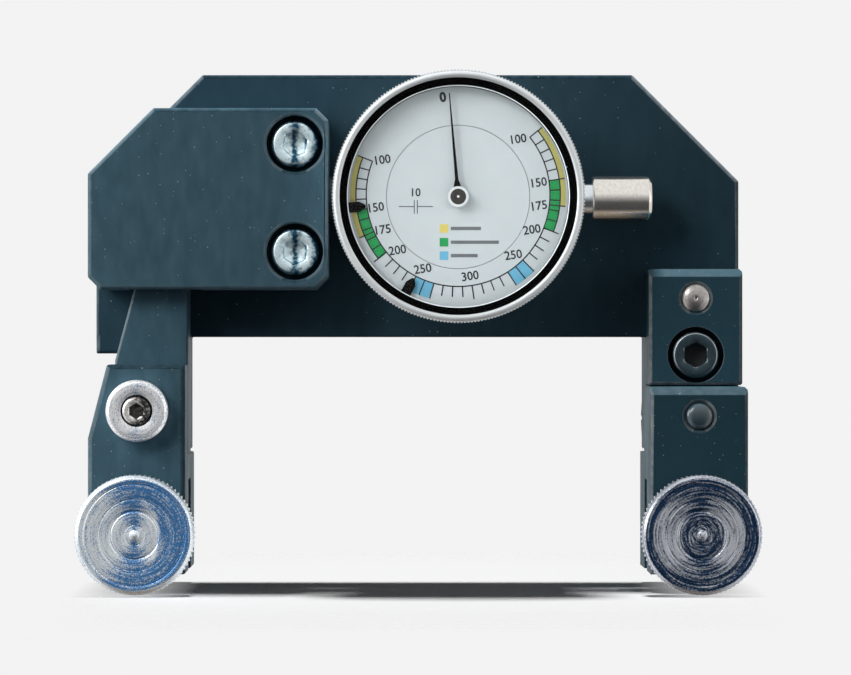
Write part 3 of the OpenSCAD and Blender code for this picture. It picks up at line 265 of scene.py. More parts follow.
def start_group(name: str, inputs: dict[str, float],
                output: str) -> tuple[Wiring, dict[str, Socket], Callable[[Any], None]]:
    """Starts a shader node group with number inputs and one number output.

    Args:
        name: Name of the group.
        inputs: Input names with their defaults.
        output: Name of the output.

    Returns:
        The group's wiring, its input sockets by name, and a function that feeds its output.
    """
    tree = bpy.data.node_groups.new(name, "ShaderNodeTree")
    for label, default in inputs.items():
        socket = tree.interface.new_socket(label, in_out="INPUT", socket_type="NodeSocketFloat")
        socket.default_value = default
    tree.interface.new_socket(output, in_out="OUTPUT", socket_type="NodeSocketFloat")
    wiring = Wiring(tree)
    source = wiring.add("NodeGroupInput")
    sink = wiring.add("NodeGroupOutput")
    sockets = {label: source.outputs[label] for label in inputs}
    return wiring, sockets, lambda value: wiring.feed(sink.inputs[output], value)


@functools.cache
def mottle_group() -> Tree:
    """Builds the group of soft patches.

    Returns:
        The group, whose value goes from 0 to 1.
    """
    defaults = {"Scale": 300.0, "Detail": 3.0, "Contrast": 2.0, "Stretch": 1.0}
    wiring, given, give = start_group("mottle", defaults, "Value")
    pull = wiring.add("ShaderNodeCombineXYZ", {0: 1.0, 1: 1.0, 2: given["Stretch"]}).outputs[0]
    place = wiring.vector("MULTIPLY", wiring.place(), pull)
    inputs = {"Vector": place, "Scale": given["Scale"], "Detail": given["Detail"]}
    noise = wiring.add("ShaderNodeTexNoise", inputs).outputs[0]
    centred = wiring.math("SUBTRACT", noise, 0.5)
    spread = wiring.math("MULTIPLY_ADD", centred, given["Contrast"], 0.5)
    give(wiring.add("ShaderNodeClamp", {0: spread}).outputs[0])
    return wiring.tree


@functools.cache
def dust_group() -> Tree:
    """Builds the group of scattered specks.

    Returns:
        The group, whose mask is 1 on a speck.
    """
    wiring, given, give = start_group("dust", {"Scale": 700.0, "Share": 0.06, "Size": 0.16}, "Mask")
    place = wiring.place()
    bend = wiring.add("ShaderNodeTexNoise", {"Vector": place, "Scale": 2500.0})
    shift = wiring.vector("MULTIPLY", bend.outputs[1], (0.0003, 0.0003, 0.0003))
    inputs = {"Vector": wiring.vector("ADD", place, shift), "Scale": given["Scale"]}
    cells = wiring.add("ShaderNodeTexVoronoi", inputs)
    pick = wiring.add("ShaderNodeSeparateColor", {0: cells.outputs["Color"]}).outputs[0]
    chosen = wiring.math("LESS_THAN", pick, given["Share"])
    near = wiring.math("LESS_THAN", cells.outputs["Distance"], given["Size"])
    give(wiring.math("MULTIPLY", chosen, near))
    return wiring.tree


@functools.cache
def turning_group() -> Tree:
    """Builds the group of broken lathe marks, which follow the turn kept on the mesh.

    Returns:
        The group, whose height goes from 0 to 1.
    """
    wiring, given, give = start_group("turning", {"Pitch": 5.0, "Breaks": 4.0}, "Height")
    parts = spin_of(wiring)
    side = wiring.math("MULTIPLY", parts[0], given["Breaks"])
    up = wiring.math("MULTIPLY", parts[1], given["Breaks"])
    out = wiring.math("MULTIPLY", parts[2], given["Pitch"])
    inputs = {"Vector": wiring.add("ShaderNodeCombineXYZ", {0: side, 1: up, 2: out}).outputs[0],
              "Scale": 1.0, "Detail": 4.0, "Roughness": 0.65}
    give(wiring.add("ShaderNodeTexNoise", inputs).outputs[0])
    return wiring.tree


@functools.cache
def painted_sheen_group() -> Tree:
    """Builds the group of a turned face's painted sheen, a painted reflection.

    Returns:
        The group, whose mask paints bright reflection to the sides of the middle, at its very middle and past the
        border.
    """
    defaults = {"Narrow": 0.2, "Wide": 0.7, "Core": 0.0, "Rim": 8.0, "Skew": 0.0, "Border": 30.0}
    wiring, given, give = start_group("painted_sheen", defaults, "Mask")
    parts = spin_of(wiring)
    # Painted reflection: bright wedges to the sides, one side dimmed by the skew, the core dimmed, and highlights
    # at the very middle and past the border.
    wedge = wiring.span(wiring.math("ABSOLUTE", parts[0]), given["Narrow"], given["Wide"], 0.0, 1.0)
    reach = wiring.math("MULTIPLY_ADD", parts[0], given["Skew"], parts[2])
    inside = wiring.math("SUBTRACT", given["Rim"], reach)
    kept = wiring.math("MULTIPLY", wedge, wiring.span(inside, -0.3, 0.5, 0.0, 1.0))
    past = wiring.span(wiring.math("SUBTRACT", parts[2], given["Core"]), -0.2, 0.2, 0.25, 1.0)
    pip = wiring.span(parts[2], 0.9, 1.2, 1.0, 0.0)
    border = wiring.span(wiring.math("SUBTRACT", parts[2], given["Border"]), -0.15, 0.15, 0.0, 1.0)
    whole = wiring.math("MULTIPLY", kept, past)
    give(wiring.math("MAXIMUM", whole, wiring.math("MAXIMUM", pip, border)))
    return wiring.tree


@functools.cache
def painted_bevel_group() -> Tree:
    """Builds the group of painted light and shade on bevels, from the marks on the mesh.

    Returns:
        The group, whose mask is above zero for a painted highlight and below zero for painted shade.
    """
    wiring, given, give = start_group("painted_bevel_light", {"Scale": 900.0, "Strength": 1.0}, "Mask")
    bevel = wiring.add("ShaderNodeAttribute", attribute_name="edge").outputs["Fac"]
    patches = wiring.group(mottle_group(), Scale=given["Scale"], Contrast=3.0)
    kept = wiring.span(patches, 0.0, 1.0, 0.45, 1.0)
    give(wiring.math("MULTIPLY", wiring.math("MULTIPLY", bevel, kept), given["Strength"]))
    return wiring.tree


@dataclass(frozen=True)
class Finish:
    """One finish of the meter. Each kind has a roughness, and how far its patches change it."""

    name: str
    slot: Slot

    def shader(self, wiring: Wiring) -> Socket:
        """Wires the finish and returns its shader output."""
        raise NotImplementedError

    def gloss(self, wiring: Wiring, patches: Socket) -> Socket:
        """Returns the roughness, which changes over the surface with its patches."""
        low, high = (self.roughness + change for change in self.uneven)
        return wiring.span(patches, 0.0, 1.0, low, high)

    def bump(self, wiring: Wiring, height: Socket, depth: float) -> Socket:
        """Returns the normal of a relief whose depth is in millimetres."""
        inputs = {"Strength": 1.0, "Distance": depth * MM, "Height": height}
        return wiring.add("ShaderNodeBump", inputs).outputs[0]


@functools.cache
def material_of(finish: Finish) -> bpy.types.Material:
    """Makes the material of a finish once.

    Args:
        finish: Finish to make.

    Returns:
        Its material.
    """
    material = bpy.data.materials.new(finish.name)
    wiring = bare_wiring(material)
    wiring.add("ShaderNodeOutputMaterial", {"Surface": finish.shader(wiring)})
    return material


@dataclass(frozen=True)
class Paint(Finish):
    """Satin paint with soft patches, dust, and painted highlights and shade on its bevels."""

    colour: RGB
    shade: RGB
    # Edge is the colour of a painted highlight on bevels that face the light. The darkest colour further down is
    # painted shade on bevels and walls that face away from it.
    edge: RGB
    speck: RGB = (0.6, 0.66, 0.69)
    bevel_shade: RGB = (0.007, 0.015, 0.021)
    roughness: float = 0.42
    uneven: tuple[float, float] = (0.06, -0.04)
    shine: float = 0.04
    dust: float = 0.07
    skin_depth: float = 0.002

    def shader(self, wiring: Wiring) -> Socket:
        """Wires the paint.

        Args:
            wiring: Wiring of the material.

        Returns:
            The shader output.
        """
        patches = wiring.group(mottle_group(), Scale=420.0, Detail=4.0, Contrast=2.6, Stretch=0.4)
        # Painted light and shade on bevels by the way they face: the edge colour above zero and the darkest colour
        # below zero, broken up by patches.
        bevel_light_mask = wiring.group(painted_bevel_group(), Scale=700.0, Strength=0.9)
        specks = wiring.group(dust_group(), Scale=1300.0, Share=self.dust, Size=0.11)
        base = wiring.mix(patches, self.shade, self.colour)
        base = wiring.mix(bevel_light_mask, base, self.edge)
        base = wiring.mix(wiring.math("MULTIPLY", bevel_light_mask, -1.0), base, self.bevel_shade)
        base = wiring.mix(specks, base, self.speck)
        gloss = self.gloss(wiring, patches)
        skin = wiring.group(mottle_group(), Scale=1900.0, Detail=2.0, Contrast=1.5)
        inputs = {"Base Color": base, "Roughness": gloss, "Specular IOR Level": self.shine,
                  "Normal": self.bump(wiring, skin, self.skin_depth)}
        return wiring.add("ShaderNodeBsdfPrincipled", inputs).outputs[0]


@dataclass(frozen=True)
class Metal(Finish):
    """Bare or plated metal with tinted patches and lathe marks."""

    bright: RGB
    dull: RGB
    patch: float = 260.0
    contrast: float = 2.0
    roughness: float = 0.3
    uneven: tuple[float, float] = (0.08, -0.05)
    marks: float = 0.01
    pitch: float = 5.0
    breaks: float = 4.0
    streak: float = 0.4
    grain: float = 0.004
    metallic: float = 1.0

    def painted_sheen(self, wiring: Wiring, blend: Socket) -> Socket:
        """Returns the share of bright metal from the share that patches and marks give; plain metal paints no
        sheen on it.
        """
        return blend

    def shader(self, wiring: Wiring) -> Socket:
        """Wires the metal.

        Args:
            wiring: Wiring of the material.

        Returns:
            The shader output.
        """
        patches = wiring.group(mottle_group(), Scale=self.patch, Detail=5.0, Contrast=self.contrast)
        lathe = wiring.group(turning_group(), Pitch=self.pitch, Breaks=self.breaks)
        skin = wiring.group(mottle_group(), Scale=3200.0, Detail=2.0, Contrast=1.5)
        streaks = wiring.span(lathe, 0.35, 0.65, 0.0, 1.0)
        blend = wiring.add("ShaderNodeMix", {0: self.streak, 2: patches, 3: streaks}).outputs[0]
        base = wiring.mix(self.painted_sheen(wiring, blend), self.dull, self.bright)
        gloss = self.gloss(wiring, patches)
        relief = wiring.math("MULTIPLY_ADD", skin, self.grain / self.marks, lathe)
        inputs = {"Base Color": base, "Metallic": self.metallic, "Roughness": gloss,
                  "Normal": self.bump(wiring, relief, self.marks)}
        return wiring.add("ShaderNodeBsdfPrincipled", inputs).outputs[0]


@dataclass(frozen=True)
class PaintedSheenMetal(Metal):
    """Plated or bare metal on a turned face with a painted reflection sheen, bright to the sides and dull above
    and below.
    """

    # Shape of the painted reflection: bright wedges between narrow and wide, ended at the rim, dimmed inside the
    # core and on one side by the skew, and bright past the border.
    narrow: float = 0.2
    wide: float = 0.7
    core: float = 0.0
    rim: float = 8.0
    skew: float = 0.0
    border: float = 30.0
    speckle: float = 0.9
    fullness: float = 1.0

    def painted_sheen(self, wiring: Wiring, blend: Socket) -> Socket:
        """Breaks up the painted sheen by specks and lathe marks.

        Args:
            wiring: Wiring of the material.
            blend: Share that patches and marks give.

        Returns:
            The share of bright metal, which paints the reflection.
        """
        mask = wiring.group(painted_sheen_group(), Narrow=self.narrow, Wide=self.wide, Core=self.core,
                            Rim=self.rim, Skew=self.skew, Border=self.border)
        full = wiring.math("MULTIPLY", mask, self.fullness)
        broken = wiring.math("MULTIPLY_ADD", wiring.math("SUBTRACT", blend, 0.5), self.speckle, full)
        return wiring.add("ShaderNodeClamp", {0: broken}).outputs[0]


@dataclass(frozen=True)
class Matte(Finish):
    """Printed card, ink or dull black trim."""

    colour: RGB
    shade: RGB
    roughness: float = 0.55
    uneven: tuple[float, float] = (0.0, 0.1)
    patch: float = 420.0
    dust: float = 0.0
    speck: RGB = (0.5, 0.52, 0.54)
    shine: float = 0.3

    def shader(self, wiring: Wiring) -> Socket:
        """Wires the dull finish.

        Args:
            wiring: Wiring of the material.

        Returns:
            The shader output.
        """
        patches = wiring.group(mottle_group(), Scale=self.patch, Detail=3.0, Contrast=1.8)
        specks = wiring.group(dust_group(), Scale=900.0, Share=self.dust, Size=0.15)
        base = wiring.mix(patches, self.shade, self.colour)
        base = wiring.mix(specks, base, self.speck)
        gloss = self.gloss(wiring, patches)
        inputs = {"Base Color": base, "Roughness": gloss, "Specular IOR Level": self.shine}
        return wiring.add("ShaderNodeBsdfPrincipled", inputs).outputs[0]


@dataclass(frozen=True)
class Glass(Finish):
    """Clear crystal that lets the light through to the dial."""

    tint: RGB = (0.98, 0.995, 1.0)
    roughness: float = 0.0
    uneven: tuple[float, float] = (0.0, 0.02)
    index: float = 1.17

    def shader(self, wiring: Wiring) -> Socket:
        """Wires the crystal.

        Args:
            wiring: Wiring of the material.

        Returns:
            The shader output.
        """
        smear = wiring.group(mottle_group(), Scale=70.0, Detail=3.0, Contrast=2.0)
        inputs = {"Base Color": self.tint, "Roughness": self.gloss(wiring, smear),
                  "Transmission Weight": 1.0, "IOR": self.index}
        solid = wiring.add("ShaderNodeBsdfPrincipled", inputs).outputs[0]
        clear = wiring.add("ShaderNodeBsdfTransparent", {"Color": self.tint}).outputs[0]
        ray = wiring.add("ShaderNodeLightPath").outputs["Is Shadow Ray"]
        return wiring.add("ShaderNodeMixShader", {0: ray, 1: solid, 2: clear}).outputs[0]


# The cover, bracket and right-hand paints are lit and shaded copies of the one slate paint. Their tones are
# painted light, lighter to the left and darker to the right as the light falls. The third colour of each paint is
# the painted highlight on its bevels.
SLATE = Paint("slate_paint", Slot.PAINT, (0.047, 0.100, 0.136), (0.039, 0.085, 0.116), (0.36, 0.42, 0.46))
SLATE_LIT = Paint("slate_paint_lit_cover", Slot.PAINT, (0.101, 0.199, 0.259), (0.072, 0.152, 0.202),
                    (0.34, 0.42, 0.46), dust=0.2)
SLATE_SHADED_RIGHT = Paint("slate_paint_shaded_right", Slot.PAINT, (0.040, 0.103, 0.141), (0.036, 0.095, 0.130),
                   (0.40, 0.44, 0.455), dust=0.22)
SLATE_HALF_LIT = Paint("slate_paint_half_lit_bracket", Slot.PAINT, (0.057, 0.142, 0.193), (0.051, 0.130, 0.178),
                  (0.40, 0.43, 0.44), dust=0.16)
SLATE_GLOSS = Paint("slate_paint_gloss", Slot.PAINT, (0.030, 0.078, 0.106), (0.027, 0.072, 0.098),
                    (0.24, 0.33, 0.37), roughness=0.22, shine=1.0)
ZINC = Metal("zinc_plate", Slot.ZINC, (0.97, 0.99, 1.0), (0.36, 0.46, 0.62), patch=3000.0, contrast=3.4,
             roughness=0.34, marks=0.02, pitch=2.4, breaks=2.0, grain=0.01)
# The three plates below paint their reflection as a sheen, bright to the sides and dull above and below, over the
# plate's own blue. The second, for the right-hand head, is also a darker copy, painted shade.
ZINC_HEAD = PaintedSheenMetal("zinc_plate_head", Slot.ZINC, (0.93, 0.98, 1.0), (0.058, 0.21, 0.48), patch=4800.0,
                  contrast=4.0, roughness=0.36, marks=0.02, pitch=3.2, breaks=1.2, streak=0.5, grain=0.01,
                  narrow=0.12, wide=0.75, rim=7.8, skew=3.2, border=9.8, speckle=2.1)
ZINC_HEAD_SHADED = PaintedSheenMetal("zinc_plate_head_shaded", Slot.ZINC, (0.66, 0.69, 0.75), (0.012, 0.035, 0.085), patch=3600.0,
                  contrast=3.6, roughness=0.36, marks=0.02, pitch=3.0, breaks=1.2, streak=0.7, grain=0.01,
                  narrow=0.1, wide=0.9, core=4.3, rim=8.2, skew=0.4, border=9.98, speckle=1.9, fullness=0.8)
ZINC_SCREW = PaintedSheenMetal("zinc_plate_screw", Slot.ZINC, (0.78, 0.95, 1.0), (0.015, 0.08, 0.14), patch=1500.0,
                   contrast=3.2, roughness=0.34, marks=0.015, pitch=2.5, breaks=2.5, streak=0.25, grain=0.01,
                   narrow=0.08, wide=0.42, rim=5.0, skew=1.6, speckle=1.0)
BLACK_STEEL = Metal("black_oxide", Slot.BLACK_STEEL, (0.062, 0.095, 0.112), (0.026, 0.042, 0.052), patch=500.0,
                    roughness=0.4, marks=0.012)
STEEL = Metal("plain_steel", Slot.STEEL, (0.50, 0.48, 0.46), (0.24, 0.228, 0.22), patch=900.0, roughness=0.28,
              marks=0.015)
CHROME = Metal("satin_chrome", Slot.CHROME, (0.88, 0.90, 0.91), (0.78, 0.80, 0.81), patch=300.0, roughness=0.38,
               marks=0.006)
SATIN = Metal("satin_bezel", Slot.CHROME, (0.96, 1.0, 1.0), (0.90, 0.94, 0.96), patch=700.0, roughness=0.42,
              marks=0.012, metallic=0.7)
KNURL = Metal("satin_knurl", Slot.CHROME, (0.95, 0.99, 1.0), (0.80, 0.84, 0.86), patch=900.0, roughness=0.45,
              metallic=0.6)
# The pin paints its reflection, bright on the left and dark on the right.
PIN = PaintedSheenMetal("pin_painted_sheen", Slot.BLACK_STEEL, (0.74, 0.72, 0.70), (0.035, 0.033, 0.032), patch=1700.0,
            contrast=3.0, roughness=0.36, marks=0.02, narrow=-0.6, wide=0.5, rim=2.2, skew=1.1, speckle=1.3)
# Painted shade for the bottoms of sockets and of the dowel's dimple.
SOCKET_SHADE = Metal("socket_painted_shade", Slot.BLACK_STEEL, (0.17, 0.165, 0.16), (0.02, 0.02, 0.02), patch=2400.0,
               contrast=3.4, roughness=0.4, marks=0.02)
# The collar paints its reflection bright almost all round and on its outer rim.
COLLAR = PaintedSheenMetal("zinc_plate_collar", Slot.ZINC, (1.0, 1.0, 1.0), (0.13, 0.24, 0.42), patch=3600.0, contrast=4.0,
               roughness=0.34, marks=0.02, pitch=2.4, breaks=2.0, streak=0.45, grain=0.01, narrow=-0.9,
               wide=0.5, rim=9.0, border=4.9, speckle=1.5, fullness=0.9)
NICKEL = Metal("warm_nickel", Slot.CHROME, (0.80, 0.78, 0.74), (0.64, 0.61, 0.56), patch=1800.0, roughness=0.16,
               marks=0.004, metallic=0.95)
BRIGHT_NECK = Metal("bright_neck", Slot.CHROME, (0.80, 0.86, 0.90), (0.58, 0.63, 0.67), patch=600.0,
                    roughness=0.2, marks=0.004)
# Painted highlight on the bracket screw's edges.
STEEL_EDGE_HIGHLIGHT = Metal("black_oxide_edge_highlight", Slot.BLACK_STEEL, (0.42, 0.47, 0.49), (0.24, 0.28, 0.30), patch=900.0,
                   roughness=0.34, marks=0.006)
ALUMINIUM = Metal("aluminium", Slot.ALUMINIUM, (0.74, 0.75, 0.76), (0.55, 0.56, 0.58), roughness=0.36)
# Dark grey for the plate that shows in the dial's gap, painted shade that makes the gap a dark line.
GAP_SHADE = Metal("front_plate_gap_shade", Slot.BRASS, (0.26, 0.27, 0.28), (0.18, 0.19, 0.20), roughness=0.34)
BRASS = Metal("brass", Slot.BRASS, (0.78, 0.60, 0.28), (0.60, 0.44, 0.19), roughness=0.28)
BRONZE = Metal("bronze", Slot.BRONZE, (0.60, 0.40, 0.22), (0.42, 0.27, 0.14), roughness=0.34)
# Painted highlight on the inner edge of the dark ring round the crystal.
PAINTED_HIGHLIGHT_EDGE = Matte("painted_highlight_edge", Slot.TRIM, (0.86, 0.90, 0.91), (0.80, 0.84, 0.85), roughness=0.4)
CARD = Matte("dial_white", Slot.WHITE, (0.57, 0.618, 0.635), (0.555, 0.60, 0.617), roughness=0.5)
TRIM = Matte("black_trim", Slot.TRIM, (0.003, 0.0032, 0.0035), (0.002, 0.0022, 0.0025), roughness=0.4,
             dust=0.02, shine=0.02)
INK = Matte("dial_ink", Slot.TRIM, (0.028, 0.031, 0.035), (0.018, 0.021, 0.024), roughness=0.6)
PALE_INK = Matte("pale_ink", Slot.TRIM, (0.17, 0.18, 0.19), (0.13, 0.14, 0.15), roughness=0.6)
HUB = Metal("dark_hub", Slot.TRIM, (0.08, 0.074, 0.068), (0.045, 0.042, 0.04), patch=1600.0, roughness=0.32)
YELLOW = Matte("yellow_ink", Slot.WHITE, (0.72, 0.60, 0.17), (0.66, 0.54, 0.14))
KHAKI = Matte("khaki_ink", Slot.WHITE, (0.55, 0.51, 0.16), (0.49, 0.45, 0.13))
GREEN = Matte("green_ink", Slot.WHITE, (0.012, 0.33, 0.085), (0.009, 0.28, 0.07))
BLUE = Matte("blue_ink", Slot.WHITE, (0.155, 0.455, 0.64), (0.125, 0.40, 0.58))
CRYSTAL = Glass("crystal_glass", Slot.GLASS)

PLAIN: dict[Slot, Finish] = {
    Slot.PAINT: SLATE, Slot.ZINC: ZINC, Slot.BLACK_STEEL: BLACK_STEEL, Slot.STEEL: STEEL, Slot.CHROME: CHROME,
    Slot.ALUMINIUM: ALUMINIUM, Slot.BRASS: BRASS, Slot.BRONZE: BRONZE, Slot.WHITE: CARD, Slot.TRIM: TRIM,
    Slot.GLASS: CRYSTAL,
}


@dataclass(frozen=True)
class Span:
    """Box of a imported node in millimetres."""

    low: Vector
    high: Vector

    @classmethod
    def of(cls, node: str) -> "Span":
        """Returns the box of a node."""
        low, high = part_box(node)
        return cls(Vector(low) / MM, Vector(high) / MM)

    @property
    def middle(self) -> Vector:
        """Returns the middle of the box."""
        return (self.low + self.high) / 2

    @property
    def front(self) -> Point:
        """Returns the middle of the face toward the viewer."""
        return (self.middle.x, self.low.y, self.middle.z)

    @property
    def size(self) -> Vector:
        """Returns the sides of the box."""
        return self.high - self.low


def dress(node: str, finish: Finish) -> None:
    """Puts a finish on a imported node, whose mesh stays as it is.

    Args:
        node: Name of the node.
        finish: Its finish.
    """
    mesh = frame["nodes"][node].data
    mesh.materials.clear()
    mesh.materials.append(material_of(finish))


def dress_all() -> None:
    """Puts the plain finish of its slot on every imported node."""
    for entry in frame["record"]["subparts"]:
        dress(entry["node"], PLAIN[Slot(entry["material_slot"])])


def link(item: bpy.types.Object) -> None:
    """Links an object to the scene."""
    bpy.context.scene.collection.objects.link(item)


def finished(name: str, mesh: Mesh, finishes: Sequence[Finish], body: Body,
             node: str | None = None, sharp: float | None = 34.0) -> None:
    """Makes a piece of a mesh in metres and lets it ride on its body.

    Args:
        name: Name of the piece.
        mesh: Mesh in the shared frame.
        finishes: Finishes in the order of the mesh's material indices.
        body: Body that carries the piece.
        node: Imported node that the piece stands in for.
        sharp: Angle in degrees above which an edge stays sharp, None to keep the mesh's own normals.
    """
    mesh.name = name
    tints = [min(face.material_index, len(finishes) - 1) for face in mesh.polygons]
    mesh.materials.clear()
    for finish in finishes:
        mesh.materials.append(material_of(finish))
    mesh.polygons.foreach_set("material_index", tints)
    if sharp is not None:
        mesh.shade_smooth()
        mesh.set_sharp_from_angle(angle=math.radians(sharp))
    piece = bpy.data.objects.new(name, mesh)
    link(piece)
    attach(piece, body.value)
    if node:
        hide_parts(node)
    LOG.info("%s rides on %s", name, body.value)


def mesh_of(bm: bmesh.types.BMesh) -> Mesh:
    """Turns a closed mesh outward.

    Args:
        bm: Mesh in metres, which is freed.

    Returns:
        The plain mesh data.
    """
    bmesh.ops.recalc_face_normals(bm, faces=bm.faces)
    mesh = bpy.data.meshes.new("piece")
    bm.to_mesh(mesh)
    bm.free()
    return mesh


def evaluated(data: Mesh | bpy.types.Curve,
              setup: Callable[[bpy.types.Object], None] | None = None) -> Mesh:
    """Runs modifiers on a mesh, or fills a number's outline, and returns the plain result.

    Args:
        data: Mesh or outline to start from.
        setup: Function that adds the modifiers to a passing object.

    Returns:
        The finished mesh.
    """
    carrier = bpy.data.objects.new("carrier", data)
    link(carrier)
    if setup:
        setup(carrier)
    graph = bpy.context.evaluated_depsgraph_get()
    result = bpy.data.meshes.new_from_object(carrier.evaluated_get(graph), depsgraph=graph)
    carrier.modifiers.clear()
    bpy.data.objects.remove(carrier)
    return result


@dataclass(frozen=True)
class BevelLight:
    """How far the paint on a piece's bevels gets a painted highlight, or painted shade below zero, by the way they
    face.
    """

    top: float = 0.0
    left: float = 0.0
    right: float = 0.0
    bottom: float = 0.0
    wall: float = 0.0

    def at(self, normal: Vector) -> float:
        """Marks a face with painted light or shade by the way it faces.

        Args:
            normal: Normal of the face.

        Returns:
            The mark, zero where the face is neither a bevel of the front nor a left wall.
        """
        if not -FRONT_PART < normal.y < -BEVEL_PART:
            return self.wall if normal.x < -WALL_PART else 0.0
        way = Vector((normal.x, normal.z)).normalized()
        if abs(way.x) > SIDE_PART:
            return self.left if way.x < 0.0 else self.right
        return self.top if way.y > 0.0 else self.bottom


def softened(node: str, width: float, bevel_light: BevelLight, least: float = 28.0) -> Mesh:
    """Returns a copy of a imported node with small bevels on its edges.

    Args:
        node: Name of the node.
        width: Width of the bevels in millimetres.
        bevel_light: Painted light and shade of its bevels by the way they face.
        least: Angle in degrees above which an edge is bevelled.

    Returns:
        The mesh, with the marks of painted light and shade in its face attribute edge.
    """
    bm = bmesh.new()
    bm.from_mesh(frame["nodes"][node].data)
    bmesh.ops.remove_doubles(bm, verts=bm.verts, dist=WELD * MM)
    bmesh.ops.dissolve_limit(bm, angle_limit=math.radians(FLAT_ANGLE), verts=bm.verts, edges=bm.edges)
    mark = bm.faces.layers.float.new("edge")
    limit = math.radians(least)
    sharp = [edge for edge in bm.edges if edge.is_manifold and edge.calc_face_angle(0.0) > limit]
    bmesh.ops.bevel(bm, geom=sharp, offset=width * MM, offset_type="OFFSET", segments=2, profile=0.5,
                    affect="EDGES", clamp_overlap=False)
    bm.normal_update()
    for face in bm.faces:
        face[mark] = bevel_light.at(face.normal)
    bmesh.ops.triangulate(bm, faces=[face for face in bm.faces if len(face.verts) > 4])
    mesh = mesh_of(bm)
    mesh.shade_smooth()
    mesh.set_sharp_from_angle(angle=math.radians(SOFT_ANGLE))

    def weigh(carrier: bpy.types.Object) -> None:
        """Adds the modifier that keeps large faces flat."""
        modifier = carrier.modifiers.new("flat_faces", "WEIGHTED_NORMAL")
        modifier.keep_sharp = True

    return evaluated(mesh, weigh)


@dataclass(frozen=True)
class Ring:
    """One ring of a turned piece."""

    radius: float
    along: float
    shape: Shape = Shape.ROUND

    def reach(self, angle: float) -> float:
        """Measures the ring.

        Args:
            angle: Angle in radians.

        Returns:
            The ring's radius at the angle.
        """
        if self.shape is Shape.ROUND:
            return self.radius
        return self.radius / math.cos(math.fmod(angle, math.pi / 3) - math.pi / 6)


def eased(profile: Profile, radius: float, steps: int = 2, closed: bool = False) -> Profile:
    """Rounds the corners of a profile.

    Args:
        profile: Points as radius and place along the axis.
        radius: Radius of the rounding.
        steps: Pieces of each rounding.
        closed: Whether the last point joins the first.

    Returns:
        The profile with rounded corners.
    """
    result: Profile = []
    count = len(profile)
    for index, here in enumerate(profile):
        if not closed and index in (0, count - 1):
            result.append(here)
            continue
        corner, before = Vector(here), Vector(profile[index - 1])
        after = Vector(profile[(index + 1) % count])
        cut = min(radius, CORNER_SHARE * (before - corner).length, CORNER_SHARE * (after - corner).length)
        first = corner + (before - corner).normalized() * cut
        last = corner + (after - corner).normalized() * cut
        for step in range(steps + 1):
            part = step / steps
            spot = first * (1 - part) ** 2 + corner * 2 * part * (1 - part) + last * part ** 2
            result.append((spot.x, spot.y))
    return result


def rings(profile: Profile) -> list[Ring]:
    """Returns round rings at the points of a profile."""
    return [Ring(radius, along) for radius, along in profile]


def turned(course: Sequence[Ring], axis: Axis, centre: Point, segments: int = 96, closed: bool = False,
           twist: float = 0.0, tints: Sequence[int] = ()) -> Mesh:
    """Turns a course of rings about an axis into a closed mesh.

    Args:
        course: Rings in order, a zero radius closes an end.
        axis: Direction of the axis.
        centre: Origin of the places along the axis.
        segments: Faces round the axis.
        closed: Whether the last ring joins the first.
        twist: Turn of the whole piece in radians.
        tints: Material index of each band between two rings.

    Returns:
        The mesh in metres, with its angle and its way out kept in the attribute spin.
    """
    bm = bmesh.new()
    spin = bm.verts.layers.float_vector.new("spin")

    def spot(ring: Ring, angle: float) -> bmesh.types.BMVert:
        """Adds one point of a ring.

        Args:
            ring: Ring that the point is on.
            angle: Angle in radians.

        Returns:
            The point.
        """
        reach = ring.reach(angle) if ring.radius else 0.0
        side, up = reach * math.sin(angle + twist), reach * math.cos(angle + twist)
        offset = (side, ring.along, up) if axis is Axis.Y else (ring.along, side, up)
        vert = bm.verts.new([MM * (base + move) for base, move in zip(centre, offset)])
        out = reach + ALONG_SHARE * ring.along
        vert[spin] = Vector((math.sin(angle + twist), math.cos(angle + twist), out))
        return vert

    loops = []
    for ring in course:
        if ring.radius == 0.0:
            loops.append([spot(ring, 0.0)] * segments)
        else:
            loops.append([spot(ring, math.tau * step / segments) for step in range(segments)])
    pairs = list(zip(loops, loops[1:] + (loops[:1] if closed else [])))
    for band, (near, far) in enumerate(pairs):
        for step in range(segments):
            after = (step + 1) % segments
            corners = list(dict.fromkeys([near[step], near[after], far[after], far[step]]))
            face = bm.faces.new(corners)
            face.material_index = tints[band] if tints else 0
    return mesh_of(bm)


def joined(meshes: Sequence[Mesh]) -> Mesh:
    """Joins meshes into one.

    Args:
        meshes: Meshes to join.

    Returns:
        The joined mesh.
    """
    bm = bmesh.new()
    for mesh in meshes:
        bm.from_mesh(mesh)
    result = bpy.data.meshes.new("joined")
    bm.to_mesh(result)
    bm.free()
    return result


def sector(centre: Point, inner: float, outer: float, start: float, end: float, depth: float) -> Mesh:
    """Makes a thin piece of a ring that faces the viewer.

    Args:
        centre: Middle of the ring, on the face that carries it.
        inner: Inner radius.
        outer: Outer radius.
        start: First angle in degrees, clockwise from the top.
        end: Last angle in degrees.
        depth: Thickness toward the viewer.

    Returns:
        The closed mesh.
    """
    bm = bmesh.new()
    count = max(2, int(abs(end - start) / ARC_STEP))
    stations = []
    for step in range(count + 1):
        angle = math.radians(start + (end - start) * step / count)
        corners = []
        for radius, near in ((inner, 0.0), (outer, 0.0), (outer, depth), (inner, depth)):
            offset = (radius * math.sin(angle), -near, radius * math.cos(angle))
            corners.append(bm.verts.new([MM * (base + move) for base, move in zip(centre, offset)]))
        stations.append(corners)
    for here, there in zip(stations, stations[1:]):
        for side in range(4):
            bm.faces.new([here[side], here[(side + 1) % 4], there[(side + 1) % 4], there[side]])
    bm.faces.new(stations[0])
    bm.faces.new(stations[-1])
    return mesh_of(bm)


